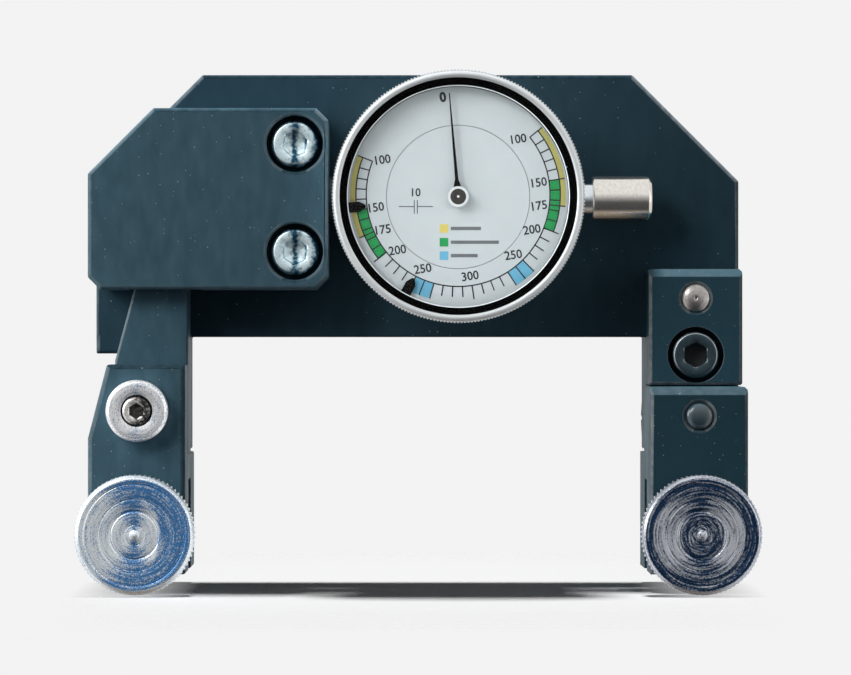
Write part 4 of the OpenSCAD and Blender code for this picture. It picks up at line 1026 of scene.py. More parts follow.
def plate(low: Point, high: Point) -> Mesh:
    """Makes a thin box.

    Args:
        low: Lowest corner.
        high: Highest corner.

    Returns:
        The closed mesh.
    """
    bm = bmesh.new()
    middle = [(a + b) / 2 * MM for a, b in zip(low, high)]
    size = [(b - a) * MM for a, b in zip(low, high)]
    place = Matrix.LocRotScale(Vector(middle), None, Vector(size))
    bmesh.ops.create_cube(bm, size=1.0, matrix=place)
    return mesh_of(bm)


def number(text: str, x: float, face: float, z: float, height: float, depth: float, tilt: float = 0.0,
           squeeze: float = 0.96, weight: float = 0.016, weld: float = 1e-5) -> Mesh:
    """Makes a plain number that faces the viewer.

    Args:
        text: Digits.
        x: Middle of the number.
        face: Y of the face that carries it.
        z: Middle of its height.
        height: Height of the digits.
        depth: Thickness of the print.
        tilt: Turn counterclockwise in degrees.
        squeeze: Width as a share of the font's own.
        weight: Growth of the strokes as a share of the font's size.
        weld: Distance below which points merge, as a share of the font's size.

    Returns:
        The closed mesh.
    """
    curve = bpy.data.curves.new("number", "FONT")
    curve.body = text
    curve.align_x = "CENTER"
    curve.size = 1.0
    curve.extrude = 0.5
    curve.offset = weight
    curve.resolution_u = 3
    bm = bmesh.new()
    bm.from_mesh(evaluated(curve))
    bmesh.ops.remove_doubles(bm, verts=bm.verts, dist=weld)
    xs = [vert.co.x for vert in bm.verts]
    ys = [vert.co.y for vert in bm.verts]
    scale = height / (max(ys) - min(ys))
    middle = Vector(((max(xs) + min(xs)) / 2, (max(ys) + min(ys)) / 2, 0.0))
    lean = math.radians(tilt)
    for vert in bm.verts:
        flat = (vert.co - middle) * scale
        flat.x *= squeeze
        right = flat.x * math.cos(lean) - flat.y * math.sin(lean)
        up = flat.x * math.sin(lean) + flat.y * math.cos(lean)
        near = depth if vert.co.z > 0 else 0.0
        vert.co = Vector((x + right, face - near, z + up)) * MM
    return mesh_of(bm)


class BarRing:
    """Geometry Nodes tree that sets equal bars round a circle, for knurls and scale ticks."""

    def __init__(self) -> None:
        """Builds the tree."""
        tree = bpy.data.node_groups.new("bar_ring", "GeometryNodeTree")
        kinds = {"Geometry": "Geometry", "Count": "Int", "First": "Float", "Step": "Float",
                 "Radius": "Float", "Size": "Vector", "Twist": "Float", "Centre": "Vector",
                 "Material": "Material"}
        self.keys: dict[str, str] = {}
        for name, kind in kinds.items():
            socket = tree.interface.new_socket(name, in_out="INPUT", socket_type=f"NodeSocket{kind}")
            self.keys[name] = socket.identifier
        tree.interface.new_socket("Geometry", in_out="OUTPUT", socket_type="NodeSocketGeometry")
        wiring = Wiring(tree)
        given = wiring.add("NodeGroupInput").outputs
        index = wiring.add("GeometryNodeInputIndex").outputs[0]
        angle = wiring.math("MULTIPLY_ADD", index, given["Step"], given["First"])
        side = wiring.math("MULTIPLY", wiring.math("SINE", angle), given["Radius"])
        up = wiring.math("MULTIPLY", wiring.math("COSINE", angle), given["Radius"])
        offset = wiring.add("ShaderNodeCombineXYZ", {0: side, 2: up}).outputs[0]
        spot = wiring.vector("ADD", offset, given["Centre"])
        points = wiring.add("GeometryNodePoints", {"Count": given["Count"], "Position": spot}).outputs[0]
        euler = wiring.add("ShaderNodeCombineXYZ", {1: wiring.math("ADD", angle, given["Twist"])}).outputs[0]
        turn = wiring.add("FunctionNodeEulerToRotation", {0: euler}).outputs[0]
        bar = wiring.add("GeometryNodeMeshCube", {"Size": given["Size"]}).outputs[0]
        inputs = {"Points": points, "Instance": bar, "Rotation": turn}
        bars = wiring.add("GeometryNodeInstanceOnPoints", inputs).outputs[0]
        gather = wiring.add("GeometryNodeJoinGeometry")
        wiring.feed(gather.inputs[0], given["Geometry"])
        wiring.feed(gather.inputs[0], bars)
        real = wiring.add("GeometryNodeRealizeInstances", {0: gather.outputs[0]}).outputs[0]
        inputs = {"Geometry": real, "Material": given["Material"]}
        tinted = wiring.add("GeometryNodeSetMaterial", inputs).outputs[0]
        wiring.add("NodeGroupOutput", {0: tinted})
        self.tree = tree

    def run(self, finish: Finish, count: int, first: float, step: float, radius: float, size: Point,
            centre: Point, twist: float = 0.0, base: Mesh | None = None) -> Mesh:
        """Runs the tree once.

        Args:
            finish: Finish of the result.
            count: Number of bars.
            first: Angle of the first bar in degrees, clockwise from the top.
            step: Angle between bars in degrees.
            radius: Radius of the bars' middles.
            size: Width, length along the axis and radial size of a bar.
            centre: Middle of the circle.
            twist: Turn of each bar about its own axis in degrees.
            base: Mesh that the bars join.

        Returns:
            The plain mesh.
        """
        values = {"Count": count, "First": math.radians(first), "Step": math.radians(step),
                  "Radius": radius * MM, "Size": [value * MM for value in size], "Twist": math.radians(twist),
                  "Centre": [value * MM for value in centre], "Material": material_of(finish)}

        def setup(carrier: bpy.types.Object) -> None:
            """Adds the tree with its inputs.

            Args:
                carrier: Passing object that carries the mesh.
            """
            modifier = carrier.modifiers.new("bars", "NODES")
            modifier.node_group = self.tree
            for name, value in values.items():
                modifier[self.keys[name]] = value

        return evaluated(base or bpy.data.meshes.new("bars"), setup)

    def knurl(self, finish: Finish, teeth: int, radius: float, length: float, centre: Point,
              base: Mesh) -> Mesh:
        """Sets square bars on their corners round a turned piece.

        Args:
            finish: Finish of the result.
            teeth: Number of bars.
            radius: Radius of the bars' outer corners.
            length: Length along the axis.
            centre: Middle of the knurl.
            base: Turned piece that the bars join.

        Returns:
            The plain mesh.
        """
        pitch = math.tau * radius / teeth
        side = pitch / math.sqrt(2.0)
        return self.run(finish, teeth, 0.0, 360.0 / teeth, radius - pitch / 2, (side, length, side), centre,
                        twist=45.0, base=base)


@dataclass
class PaintedBody:
    """Frame plate, cover, bracket, jaws and lever arm, with their edges softened."""

    edge: float = 0.22
    fine_edge: float = 0.09
    jaw_edge: float = 0.32
    wide_edge: float = 0.45
    dome: float = 0.6
    dome_round: float = 0.2

    def build(self) -> None:
        """Makes the softened copies of the painted pieces."""
        # The marks paint light and shade on each piece's bevels by the way they face: highlights where the light
        # falls, and shade on top edges, walls and sides turned from it.
        plan = [
            ("frame", Body.FRAME, SLATE, self.edge, BevelLight(top=-0.8, left=0.45, right=1.0)),
            ("cover", Body.FRAME, SLATE_LIT, self.edge, BevelLight(top=-0.6, left=0.4, right=0.6, bottom=0.2)),
            ("bracket", Body.FRAME, SLATE_HALF_LIT, self.fine_edge,
             BevelLight(top=0.17, left=1.0, right=1.0, bottom=1.0, wall=-0.9)),
            ("fixed_jaw", Body.FRAME, SLATE_SHADED_RIGHT, self.fine_edge,
             BevelLight(top=0.19, left=1.0, right=0.8, bottom=0.6)),
            ("moving_jaw", Body.LEVER, SLATE_LIT, self.jaw_edge,
             BevelLight(top=-0.75, left=0.6, right=-0.4, bottom=0.2)),
            ("lever_arm", Body.LEVER, SLATE_LIT, self.wide_edge, BevelLight(left=0.9, right=0.2, bottom=0.2)),
        ]
        for node, body, finish, width, bevel_light in plan:
            finished(f"{node}_paint", softened(node, width, bevel_light), [finish], body, node, sharp=None)

    def dowel(self) -> None:
        """Makes the dowel that was painted over with its jaw, with a round end."""
        box = Span.of("fixed_jaw_dowel")
        radius, length, dome = box.size.x / 2, box.size.y, self.dome
        profile = [(radius * 0.4, dome * 0.1), (radius * 0.7, dome * 0.38), (radius - 0.25, dome),
                   (radius - 0.05, dome + 0.35), (radius, dome + 0.5), (radius, length)]
        course = [Ring(0.0, 0.0), *rings(eased(profile, self.dome_round)), Ring(0.0, length)]
        pin = turned(course, Axis.Y, box.front, 64)
        finished("fixed_jaw_dowel_paint", pin, [SLATE_GLOSS], Body.FRAME, "fixed_jaw_dowel", sharp=ROUND_ANGLE)


@dataclass
class CapScrew:
    """Cap screw with a hexagon socket, seen from its head."""

    x: float
    z: float
    front: float
    length: float
    twist: float = 0.0
    head_radius: float = 4.25
    head_height: float = 5.0
    shank_radius: float = 2.5
    socket: float = 2.0
    socket_depth: float = 2.5
    drill_point: float = 0.5
    lead: float = 0.14
    lead_top: float = 0.08
    lead_end: float = 0.28
    land: float = 0.55
    chamfer: float = 0.45
    chamfer_depth: float = 0.4
    tip: float = 0.5
    rounding: float = 0.18

    def mesh(self) -> Mesh:
        """Makes the screw.

        Returns:
            The mesh, with index 1 for its socket's bottom, where painted shade may go, and 2 for its edges, where
            a painted highlight may go.
        """
        rim, shank, neck = self.head_radius, self.shank_radius, self.head_height
        end = neck + self.length
        outside = eased([(self.socket + self.land, 0.0), (rim - self.chamfer, 0.0), (rim, self.chamfer_depth),
                         (rim, neck), (shank, neck), (shank, end - self.tip), (shank - self.tip, end)],
                        self.rounding)
        course = [Ring(0.0, self.socket_depth + self.drill_point),
                  Ring(self.socket, self.socket_depth, Shape.HEX), Ring(self.socket, self.lead_end, Shape.HEX),
                  Ring(self.socket + self.lead, self.lead_top, Shape.HEX), *rings(outside), Ring(0.0, end)]
        tints = [1, 0, 2, 0, 0, 0, 2, 2, 2] + [0] * (len(course) - 10)
        return turned(course, Axis.Y, (self.x, self.front, self.z), 48, twist=self.twist, tints=tints)


@dataclass
class Fasteners:
    """Screws and dowels that show on the front."""

    upper_turn: float = 12.0
    lower_turn: float = 4.0
    dome: float = 0.7
    dimple: float = 0.3
    rounding: float = 0.1

    def screw(self, box: Span, z: float, turn: float = 0.0) -> Mesh:
        """Makes a cap screw as long as its node.

        Args:
            box: Box of the node.
            z: Height of the screw's axis.
            turn: Turn of its socket in degrees.

        Returns:
            The screw's mesh.
        """
        length = box.size.y - CapScrew.head_height
        return CapScrew(box.middle.x, z, box.low.y, length, math.radians(turn)).mesh()

    def build(self) -> None:
        """Makes the screws and the bare dowel."""
        box = Span.of("cover_screws")
        pair = [self.screw(box, box.high.z - CapScrew.head_radius, self.upper_turn),
                self.screw(box, box.low.z + CapScrew.head_radius, self.lower_turn)]
        finished("cover_screw_pair", joined(pair), [ZINC_SCREW] * 3, Body.FRAME, "cover_screws")
        box = Span.of("bracket_screw")
        screw = self.screw(box, box.middle.z)
        # Ink paints shade on the bottom of the socket, and the last finish paints a highlight on the edges.
        finished("bracket_cap_screw", screw, [BLACK_STEEL, INK, STEEL_EDGE_HIGHLIGHT], Body.FRAME, "bracket_screw")
        box = Span.of("bracket_dowel")
        radius, length = box.size.x / 2, box.size.y
        profile = eased([(0.22, 0.12), (0.4, 0.03), (0.8, 0.05), (radius * 0.6, 0.18), (radius * 0.85, 0.42),
                         (radius, self.dome), (radius, length)], self.rounding)
        course = [Ring(0.0, self.dimple), *rings(profile), Ring(0.0, length)]
        # The dimple in the dowel's end takes painted shade.
        tints = [1] + [0] * (len(course) - 2)
        pin = turned(course, Axis.Y, box.front, 64, tints=tints)
        finished("bracket_dowel_pin", pin, [STEEL, SOCKET_SHADE], Body.FRAME, "bracket_dowel", sharp=ROUND_ANGLE)


@dataclass
class Pivot:
    """Pivot pin and its plated collar."""

    bore: float = 2.53
    mouth: float = 0.3
    relief: float = 0.22
    relief_start: float = 1.2
    relief_end: float = 1.3
    lip: float = 0.55
    lip_round: float = 0.1
    key: float = 1.25
    key_depth: float = 2.5
    key_lead: float = 0.12
    land: float = 0.25
    chamfer: float = 0.3
    chamfer_depth: float = 0.25
    pin_round: float = 0.12

    def build(self) -> None:
        """Makes the collar and the pin."""
        box = Span.of("pivot_collar")
        bore, radius, depth = self.bore, box.size.x / 2, box.size.y
        profile = eased([(bore + self.mouth, 0.0), (radius - self.lip, 0.0), (radius, self.lip), (radius, depth),
                         (bore, depth), (bore, self.relief_end), (bore + self.relief, self.relief_start)],
                        self.lip_round, closed=True)
        collar = turned(rings(profile), Axis.Y, box.front, 96, closed=True)
        finished("pivot_collar_ring", collar, [COLLAR], Body.FRAME, "pivot_collar")
        box = Span.of("pivot_pin")
        radius, length = box.size.x / 2, box.size.y
        profile = eased([(self.key + self.land, 0.0), (radius - self.chamfer, 0.0), (radius, self.chamfer_depth),
                         (radius, length)], self.pin_round)
        course = [Ring(0.0, self.key_depth), Ring(self.key, self.key_depth, Shape.HEX),
                  Ring(self.key, self.key_lead, Shape.HEX), *rings(profile), Ring(0.0, length)]
        # The socket's bottom and walls take painted shade; the pin's back end is plain steel.
        tints = [1, 1] + [0] * (len(course) - 4) + [2]
        pin = turned(course, Axis.Y, box.front, 48, tints=tints)
        finished("pivot_pin_turned", pin, [PIN, SOCKET_SHADE, STEEL], Body.FRAME, "pivot_pin")


@dataclass
class ClampScrew:
    """Knurled clamp screw with turned grooves on its head."""

    name: str
    node: str
    body: Body
    finish: Finish
    head_depth: float = 5.0
    grooves: tuple[tuple[float, float], ...] = (
        (0.5, 0.05), (0.9, 0.22), (1.7, 0.24), (1.8, 0.27), (1.9, 0.24), (4.0, 0.20), (4.1, 0.25), (4.35, 0.25),
        (4.45, 0.19), (6.2, 0.14), (6.3, 0.17), (6.4, 0.14), (8.9, 0.06), (9.0, 0.10), (9.1, 0.03))
    groove_round: float = 0.06
    face_edge: float = 0.75
    shoulder: float = 0.12
    shoulder_depth: float = 0.7
    teeth: int = 78
    knurl_root: float = 0.42
    knurl_start: float = 0.9
    knurl_short: float = 1.7
    back_edge: float = 0.9
    thread_radius: float = 2.95
    thread_pitch: float = 1.0
    thread_depth: float = 0.45
    thread_start: float = 0.6
    thread_end: float = 0.8
    thread_root: tuple[float, float] = (0.42, 0.52)
    thread_crest: float = 0.94
    tip: float = 0.5

    def head(self, rim: float) -> Profile:
        """Draws the head.

        Args:
            rim: Radius of the knurl's crests.

        Returns:
            The head's profile from its middle to its back.
        """
        depth, root = self.head_depth, rim - self.knurl_root
        return [*self.grooves, (rim - self.face_edge, 0.0), (rim - self.shoulder, self.shoulder_depth),
                (root, self.knurl_start), (root, depth - self.knurl_start), (rim - self.back_edge, depth)]

    def build(self, bars: BarRing) -> None:
        """Makes the screw.

        Args:
            bars: Tree that cuts the knurl.
        """
        box = Span.of(self.node)
        rim, depth, crest = box.size.x / 2, self.head_depth, self.thread_radius
        root = crest - self.thread_depth
        course = [Ring(0.0, 0.0), *rings(eased(self.head(rim), self.groove_round)), Ring(crest, depth)]
        along = depth + self.thread_start
        while along + self.thread_pitch < box.size.y - self.thread_end:
            course += [Ring(crest, along), *(Ring(root, along + part) for part in self.thread_root),
                       Ring(crest, along + self.thread_crest)]
            along += self.thread_pitch
        course += [Ring(crest - self.tip, box.size.y), Ring(0.0, box.size.y)]
        blank = turned(course, Axis.Y, box.front, 128)
        middle = (box.middle.x, box.low.y + depth / 2, box.middle.z)
        knurled = bars.knurl(self.finish, self.teeth, rim, depth - self.knurl_short, middle, blank)
        finished(self.name, knurled, [self.finish], self.body, self.node)


@dataclass
class Bezel:
    """Knurled bezel and dark ring of the indicator."""

    rim: float = 1.45
    pane_gap: float = 0.05
    crown: float = 0.3
    crown_steps: int = 8
    teeth: int = 230
    knurl: float = 0.36
    knurl_start: float = 0.4
    knurl_short: float = 0.7
    window: float = 1.7
    # Width of the painted highlight at the dark ring's inner edge.
    bright: float = 0.17

    def build(self, bars: BarRing) -> None:
        """Makes the bezel and its dark ring.

        Args:
            bars: Tree that cuts the knurl.
        """
        box, pane = Span.of("bezel"), Span.of("crystal")
        outer, depth = box.size.x / 2, box.size.y
        rim, seat = outer - self.rim, pane.low.y - box.low.y
        body, inner = outer - self.knurl, pane.size.x / 2 + self.pane_gap
        turns = [math.pi * step / self.crown_steps for step in range(self.crown_steps + 1)]
        crown = [(rim + (body - rim) * (0.5 - 0.5 * math.cos(turn)), self.crown * (1 - math.sin(turn)))
                 for turn in turns]
        profile = [(rim, seat), *crown, (body, depth), (inner, depth), (inner, seat)]
        blank = turned(rings(profile), Axis.Y, box.front, 192, closed=True)
        length = depth - self.knurl_short
        middle = (box.middle.x, box.low.y + self.knurl_start + length / 2, box.middle.z)
        smooth = len(blank.polygons)
        knurled = bars.knurl(SATIN, self.teeth, outer, length, middle, blank)
        for face in knurled.polygons[smooth:]:
            face.material_index = 1
        finished("bezel_knurled", knurled, [SATIN, KNURL], Body.BEZEL, "bezel")
        box = Span.of("gasket")
        outer, depth = box.size.x / 2, box.size.y
        window = outer - self.window
        loop = [(outer, 0.0), (outer, depth), (window, depth), (window, self.bright),
                (window + self.bright, 0.0)]
        # The band at the window's inner edge takes the painted highlight.
        ring = turned(rings(loop), Axis.Y, box.front, 160, closed=True, tints=[0, 0, 0, 1, 0])
        finished("gasket_ring", ring, [TRIM, PAINTED_HIGHLIGHT_EDGE], Body.BEZEL, "gasket")


@dataclass(frozen=True)
class Label:
    """One number of the scale, in the ring's own angles."""

    text: str
    angle: float
    radius: float
    height: float = 1.62
    weight: float = 0.016


@dataclass
class ScalePrint:
    """Print of the turning scale ring."""

    x: float
    z: float
    face: float
    turn: float = -8.7
    per_unit: float = 0.6
    line: float = 0.23
    inner: float = 16.45
    middle: float = 18.3
    outer: float = 19.3
    short: float = 1.9
    lowest: float = 2.5
    rise: float = 0.42
    ink: float = 0.035
    band: float = 0.02

    @property
    def centre(self) -> Point:
        """Returns the middle of the lines, which sit a little above the dial's own."""
        return (self.x, self.face, self.z + self.rise)

    def angle(self, value: float, side: int) -> float:
        """Returns the angle of a scale value on the right side, 1, or the left side, -1."""
        return side * value * self.per_unit + self.turn

    def bow(self, inner: float, outer: float, start: float, end: float, side: int, depth: float) -> Mesh:
        """Returns a band between two scale values on one side."""
        return sector(self.centre, inner, outer, self.angle(start, side), self.angle(end, side), depth)

    def bands(self) -> None:
        """Makes the coloured bands."""
        plan = [("khaki_bands", KHAKI, self.middle, self.outer, 100, 175),
                ("green_bands", GREEN, self.inner, self.middle, 150, 200),
                ("blue_bands", BLUE, self.inner, self.outer, 240, 260)]
        for name, finish, inner, outer, start, end in plan:
            pair = [self.bow(inner, outer, start, end, side, self.band) for side in (-1, 1)]
            finished(name, joined(pair), [finish], Body.BEZEL)

    def ticks(self, bars: BarRing) -> list[Mesh]:
        """Makes the scale ticks.

        Args:
            bars: Tree that sets the ticks.

        Returns:
            Their meshes.
        """
        inner, middle, outer, short = self.inner, self.middle, self.outer, self.inner + self.short
        plan = [(100, 10, 11, inner, middle), (175, 25, 2, inner, outer), (100, 50, 2, middle, outer),
                (210, 10, 3, inner, short), (240, 10, 3, inner, outer), (270, 10, 3, inner, short)]
        rows = [(side, *row) for side in (-1, 1) for row in plan]
        rows.append((1, 300, 0, 1, inner, inner + self.lowest))
        place = (self.x, self.face - self.ink / 2, self.z + self.rise)
        result = []
        for side, start, step, count, low, high in rows:
            size = (self.line, self.ink, high - low)
            result.append(bars.run(INK, count, self.angle(start, side), side * step * self.per_unit,
                                   (low + high) / 2, size, place))
        return result

    def arcs(self) -> list[Mesh]:
        """Makes the printed arcs.

        Returns:
            Their meshes.
        """
        half = self.line / 2
        low, high = self.inner - half, self.inner + half
        result = [sector(self.centre, low, high, self.angle(100, 1), self.angle(500, 1), self.ink)]
        for side in (-1, 1):
            result.append(self.bow(self.middle - half, self.middle + half, 100, 200, side, self.ink))
        return result

    def numbers(self) -> list[Mesh]:
        """Makes the numbers of the scale.

        Returns:
            Their meshes.
        """
        pairs = [Label("100", 54.8, 15.05), Label("150", 88.4, 14.75), Label("175", 104.7, 14.63),
                 Label("200", 122.4, 14.42), Label("250", 145.0, 14.3)]
        labels = [Label("300", 180.0, 14.28), Label("0", 0.0, 18.1, height=1.9, weight=0.045)]
        for label in pairs:
            labels += [label, Label(label.text, -label.angle, label.radius)]
        result = []
        for label in labels:
            spot = math.radians(label.angle + self.turn)
            result.append(number(label.text, self.x + label.radius * math.sin(spot), self.face,
                                 self.z + label.radius * math.cos(spot), label.height, self.ink, -self.turn,
                                 weight=label.weight))
        return result

    def build(self, bars: BarRing) -> None:
        """Makes the whole print.

        Args:
            bars: Tree that sets the ticks.
        """
        self.bands()
        lines = joined(self.ticks(bars) + self.arcs())
        finished("scale_lines", lines, [INK], Body.BEZEL, sharp=PRINT_ANGLE)
        finished("scale_numbers", joined(self.numbers()), [INK], Body.BEZEL, sharp=PRINT_ANGLE)


@dataclass
class FacePrint:
    """Print of the fixed inner dial."""

    x: float
    z: float
    face: float
    ink: float = 0.03
    square: float = 1.54
    square_x: float = -2.53
    bar_x: float = -1.3
    bar_half: float = 0.3
    line: float = 0.07
    mark_z: float = -1.72
    mark_ends: tuple[float, float] = (-10.6, -4.5)
    gate: tuple[float, float] = (-7.85, -7.3)
    gate_low: float = -3.0
    gate_high: float = -0.55
    digits_x: float = -7.5
    digits_z: float = 0.83
    digits_height: float = 1.5

    def slab(self, x0: float, x1: float, z0: float, z1: float) -> Mesh:
        """Returns a thin printed box, placed from the dial's middle."""
        return plate((self.x + x0, self.face - self.ink, self.z + z0), (self.x + x1, self.face, self.z + z1))

    def legend(self) -> None:
        """Makes the colour squares with their bars."""
        half = self.square / 2
        rows = [("yellow_square", YELLOW, -5.64, 5.4), ("green_square", GREEN, -8.1, 8.6),
                ("blue_square", BLUE, -10.5, 4.8)]
        bars = []
        for name, finish, height, length in rows:
            patch = self.slab(self.square_x - half, self.square_x + half, height - half, height + half)
            finished(name, patch, [finish], Body.FRAME, sharp=PRINT_ANGLE)
            bars.append(self.slab(self.bar_x, self.bar_x + length, height - self.bar_half, height + self.bar_half))
        finished("legend_bars", joined(bars), [PALE_INK], Body.FRAME, sharp=PRINT_ANGLE)

    def division(self) -> None:
        """Makes the mark of one division, with its number."""
        line, low, high = self.line, self.mark_z - self.line, self.mark_z + self.line
        marks = [self.slab(self.mark_ends[0], self.gate[0], low, high),
                 self.slab(self.gate[1], self.mark_ends[1], low, high)]
        marks += [self.slab(post - line, post + line, self.gate_low, self.gate_high) for post in self.gate]
        marks.append(number("10", self.x + self.digits_x, self.face, self.z + self.digits_z, self.digits_height,
                            self.ink))
        finished("division_mark", joined(marks), [INK], Body.FRAME, sharp=PRINT_ANGLE)

    def build(self) -> None:
        """Makes the whole print."""
        self.legend()
        self.division()


@dataclass
class IndicatorBody:
    """Neck, end cap and pointer cap of the indicator."""

    cap_bevel: float = 0.5
    cap_rim: float = 0.2
    cap_hold: float = 0.6
    cap_round: float = 0.15
    pip: tuple[tuple[float, float], ...] = ((0.0, 0.0), (0.22, 0.02), (0.36, 0.1))
    hub_face: tuple[float, float] = (0.55, 0.04)
    hub_edge: float = 0.2
    hub_depth: float = 0.12
    hub_round: float = 0.1

    def build(self) -> None:
        """Makes the turned end pieces."""
        box = Span.of("end_cap")
        radius, length = box.size.z / 2, box.size.x
        near, far = self.cap_rim, length - self.cap_bevel
        profile = eased([(radius - self.cap_rim, 0.0), (radius, near), (radius, near + self.cap_hold),
                         (radius, far - self.cap_hold), (radius, far), (radius - self.cap_bevel, length)],
                        self.cap_round, 3)
        course = [Ring(0.0, 0.0), *rings(profile), Ring(0.0, length)]
        cap = turned(course, Axis.X, (box.low.x, box.middle.y, box.middle.z), 96)
        finished("end_cap_turned", cap, [NICKEL], Body.FRAME, "end_cap")
        box = Span.of("pointer_cap")
        radius, length = box.size.x / 2, box.size.y
        profile = eased([self.hub_face, (radius - self.hub_edge, 0.0), (radius, self.hub_depth),
                         (radius, length)], self.hub_round, 3)
        course = [*rings([*self.pip, *profile]), Ring(0.0, length)]
        tints = [1] + [0] * (len(course) - 2)
        cap = turned(course, Axis.Y, box.front, 48, tints=tints)
        finished("pointer_cap_turned", cap, [HUB, CHROME], Body.POINTER, "pointer_cap")

    def dress(self) -> None:
        """Gives the neck its own bright metal, and paints the stem black and the plate that shows in the dial's
        gap dark grey, as painted shade.
        """
        for node, finish in (("neck", BRIGHT_NECK), ("stem", BLACK_STEEL), ("front_plate", GAP_SHADE)):
            dress(node, finish)


def grey(tone: float) -> RGB:
    """Returns a neutral colour."""
    return (tone, tone, tone)


@dataclass(frozen=True)
class Lamp:
    """One soft square light that points at the meter, in millimetres and watts."""

    name: str
    spot: Point
    size: float
    power: float
    spares_floor: bool = True
    mirrored: bool = True


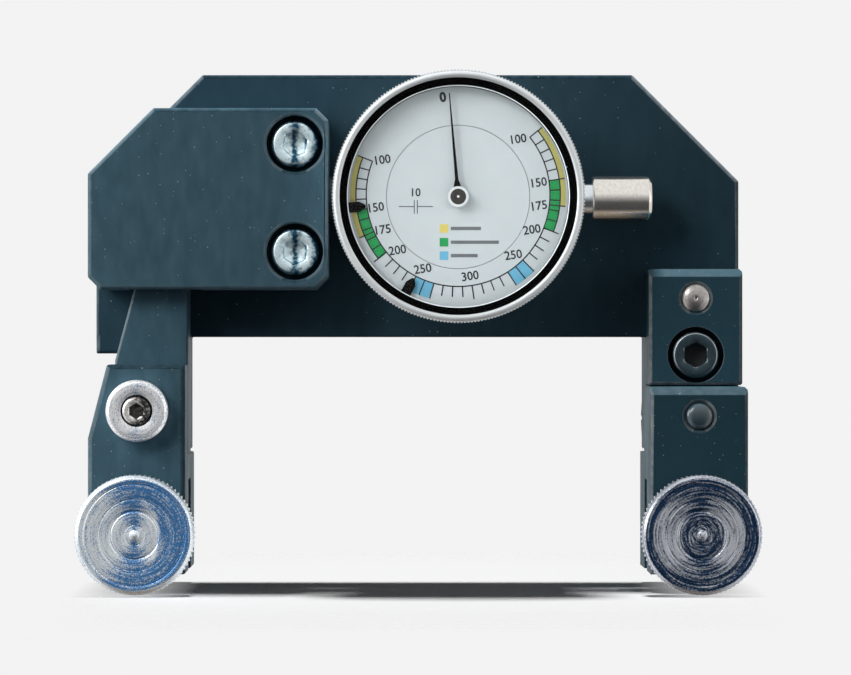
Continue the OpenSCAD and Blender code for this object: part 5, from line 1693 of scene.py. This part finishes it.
@dataclass
class Studio:
    """Pale floor, soft lights, surroundings and camera."""

    eye: Point = (-3.2, -677.7, 34.4)
    lens: float = 156.3
    sensor: float = 36.0
    shift_x: float = 0.02996
    shift_y: float = 0.0029
    nearest: float = 10.0
    floor_z: float = -10.75
    floor_half: float = 600.0
    floor_x: tuple[float, float] = (40.0, 62.0)
    floor_y: tuple[float, float] = (60.0, 110.0)
    floor_tones: tuple[float, float] = (0.914, 0.934)
    aim: Point = (0.0, -10.0, 35.0)
    surround: float = 0.893
    ambient: float = 0.045
    front: float = 0.42
    table: RGB = (0.42, 0.35, 0.29)
    dark: float = 0.07
    dim: float = 0.1
    top: float = 1.05
    side: float = 1.0
    back: float = 0.9
    below: RGB = (0.16, 0.125, 0.095)
    lamps: tuple[Lamp, ...] = (
        Lamp("key", (-420.0, -520.0, 420.0), 300.0, 1.6),
        Lamp("overhead", (0.0, 60.0, 640.0), 80.0, 4.0, spares_floor=False, mirrored=False),
        Lamp("left", (-260.0, -80.0, 110.0), 160.0, 0.3),
        Lamp("fill", (520.0, -160.0, 120.0), 300.0, 0.2),
    )

    def floor(self) -> bpy.types.Collection:
        """Makes the floor, which fades out around the meter.

        Returns:
            The collection that keeps a light off the floor.
        """
        bm = bmesh.new()
        bmesh.ops.create_grid(bm, x_segments=1, y_segments=1, size=self.floor_half * MM)
        for vert in bm.verts:
            vert.co.z = self.floor_z * MM
        mesh = bpy.data.meshes.new("floor")
        bm.to_mesh(mesh)
        bm.free()
        material = bpy.data.materials.new("pale_floor")
        wiring = bare_wiring(material)
        reach = wiring.add("ShaderNodeSeparateXYZ", {0: wiring.vector("ABSOLUTE", wiring.place())}).outputs
        across = wiring.span(reach[0], self.floor_x[0] * MM, self.floor_x[1] * MM, 1.0, 0.0)
        deep = wiring.span(reach[1], self.floor_y[0] * MM, self.floor_y[1] * MM, 1.0, 0.0)
        haze = wiring.group(mottle_group(), Scale=20.0, Contrast=1.0)
        base = wiring.mix(haze, *(grey(tone) for tone in self.floor_tones))
        alpha = wiring.math("MULTIPLY", across, deep)
        inputs = {"Base Color": base, "Roughness": 0.9, "Specular IOR Level": 0.0, "Alpha": alpha}
        solid = wiring.add("ShaderNodeBsdfPrincipled", inputs)
        wiring.add("ShaderNodeOutputMaterial", {"Surface": solid.outputs[0]})
        mesh.materials.append(material)
        item = bpy.data.objects.new("floor", mesh)
        self.stand(item)
        item.visible_glossy = False
        item.visible_diffuse = False
        spared = bpy.data.collections.new("spared")
        spared.objects.link(item)
        spared.collection_objects[0].light_linking.link_state = "EXCLUDE"
        return spared

    def stand(self, item: bpy.types.Object) -> None:
        link(item)
        item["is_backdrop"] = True

    def light(self, lamp: Lamp, spared: bpy.types.Collection) -> None:
        """Adds a soft area light.

        Args:
            lamp: Light to add.
            spared: Collection that keeps a light off the floor.
        """
        data = bpy.data.lights.new(lamp.name, "AREA")
        data.size = lamp.size * MM
        data.energy = lamp.power
        item = bpy.data.objects.new(lamp.name, data)
        item.location = Vector(lamp.spot) * MM
        item.rotation_euler = (Vector(self.aim) - Vector(lamp.spot)).to_track_quat("-Z", "Y").to_euler()
        self.stand(item)
        item.visible_glossy = lamp.mirrored
        if lamp.spares_floor:
            item.light_linking.receiver_collection = spared

    def mirrored(self, wiring: Wiring) -> Socket:
        """Wires the tone that reflections see, bright above and to the sides and dark in front and below.

        Args:
            wiring: Wiring of the world.

        Returns:
            The colour output.
        """
        way = wiring.add("ShaderNodeTexCoord").outputs["Generated"]
        parts = wiring.add("ShaderNodeSeparateXYZ", {0: way}).outputs
        height = wiring.math("MULTIPLY_ADD", parts[2], 0.5, 0.5)
        top, back = grey(self.top), grey(self.back)
        stops = [(0.0, self.table), (0.03, self.table), (0.08, grey(self.dark)), (0.36, grey(self.dim)),
                 (0.5, grey(self.front)), (0.72, top), (1.0, top)]
        ahead = wiring.ramp(height, stops)
        beside = wiring.span(wiring.math("ABSOLUTE", parts[0]), 0.3, 0.7, 0.0, 1.0)
        ahead = wiring.mix(beside, ahead, grey(self.side))
        stops = [(0.0, self.below), (0.04, self.below), (0.14, back), (0.8, back), (0.97, top)]
        behind = wiring.ramp(height, stops)
        return wiring.mix(wiring.span(parts[1], -0.1, 0.2, 0.0, 1.0), ahead, behind)

    def world(self) -> None:
        """Makes the pale surroundings, with a quieter share for the light on the meter."""
        world = bpy.data.worlds.new("studio")
        bpy.context.scene.world = world
        wiring = bare_wiring(world)
        path = wiring.add("ShaderNodeLightPath").outputs
        seen = wiring.math("MAXIMUM", path["Is Camera Ray"], path["Is Transmission Ray"])
        tone = wiring.mix(path["Is Glossy Ray"], grey(self.ambient), self.mirrored(wiring))
        quiet, pale = (wiring.add("ShaderNodeBackground", {"Color": colour, "Strength": 1.0}).outputs[0]
                       for colour in (tone, grey(self.surround)))
        mixed = wiring.add("ShaderNodeMixShader", {0: seen, 1: quiet, 2: pale}).outputs[0]
        wiring.add("ShaderNodeOutputWorld", {"Surface": mixed})

    def camera(self) -> None:
        """Sets the camera at the photograph's angle."""
        data = bpy.data.cameras.new("camera")
        data.lens = self.lens
        data.sensor_width = self.sensor
        data.shift_x = self.shift_x
        data.shift_y = self.shift_y
        data.clip_start = self.nearest * MM
        item = bpy.data.objects.new("camera", data)
        item.location = Vector(self.eye) * MM
        item.rotation_euler = (math.pi / 2, 0.0, 0.0)
        link(item)
        bpy.context.scene.camera = item

    def build(self) -> None:
        """Sets up the whole studio."""
        spared = self.floor()
        self.world()
        for lamp in self.lamps:
            self.light(lamp, spared)
        self.camera()
        bpy.context.scene.view_settings.view_transform = "Standard"


def write_size(name: str, sizes: dict[str, Any]) -> None:
    """Keeps the bounds under a name.

    Args:
        name: Name of the moment.
        sizes: Bounds of all moments so far.
    """
    sizes[name] = [[round(value, 6) for value in corner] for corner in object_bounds()]


def main() -> None:
    """Builds the meter's looks in order."""
    logging.basicConfig(level=logging.INFO, format="%(message)s")
    sizes: dict[str, Any] = {}
    write_size("loaded", sizes)
    dress_all()
    LOG.info("packed nodes dressed: %d", len(frame["nodes"]))
    bars = BarRing()
    painted = PaintedBody()
    painted.build()
    painted.dowel()
    LOG.info("painted body built")
    Fasteners().build()
    Pivot().build()
    ClampScrew("left_clamp_knurled", "left_clamp_screw", Body.LEFT_SCREW, ZINC_HEAD).build(bars)
    ClampScrew("right_clamp_knurled", "right_clamp_screw", Body.RIGHT_SCREW, ZINC_HEAD_SHADED).build(bars)
    LOG.info("screws and clamps built")
    Bezel().build(bars)
    dial = Span.of("dial_face")
    ScalePrint(dial.middle.x, dial.middle.z, dial.low.y).build(bars)
    FacePrint(dial.middle.x, dial.middle.z, dial.low.y).build()
    body = IndicatorBody()
    body.build()
    body.dress()
    LOG.info("indicator built")
    Studio().build()
    write_size("finished", sizes)
    LOG.info("studio set")


if __name__ == "__main__":
    main()
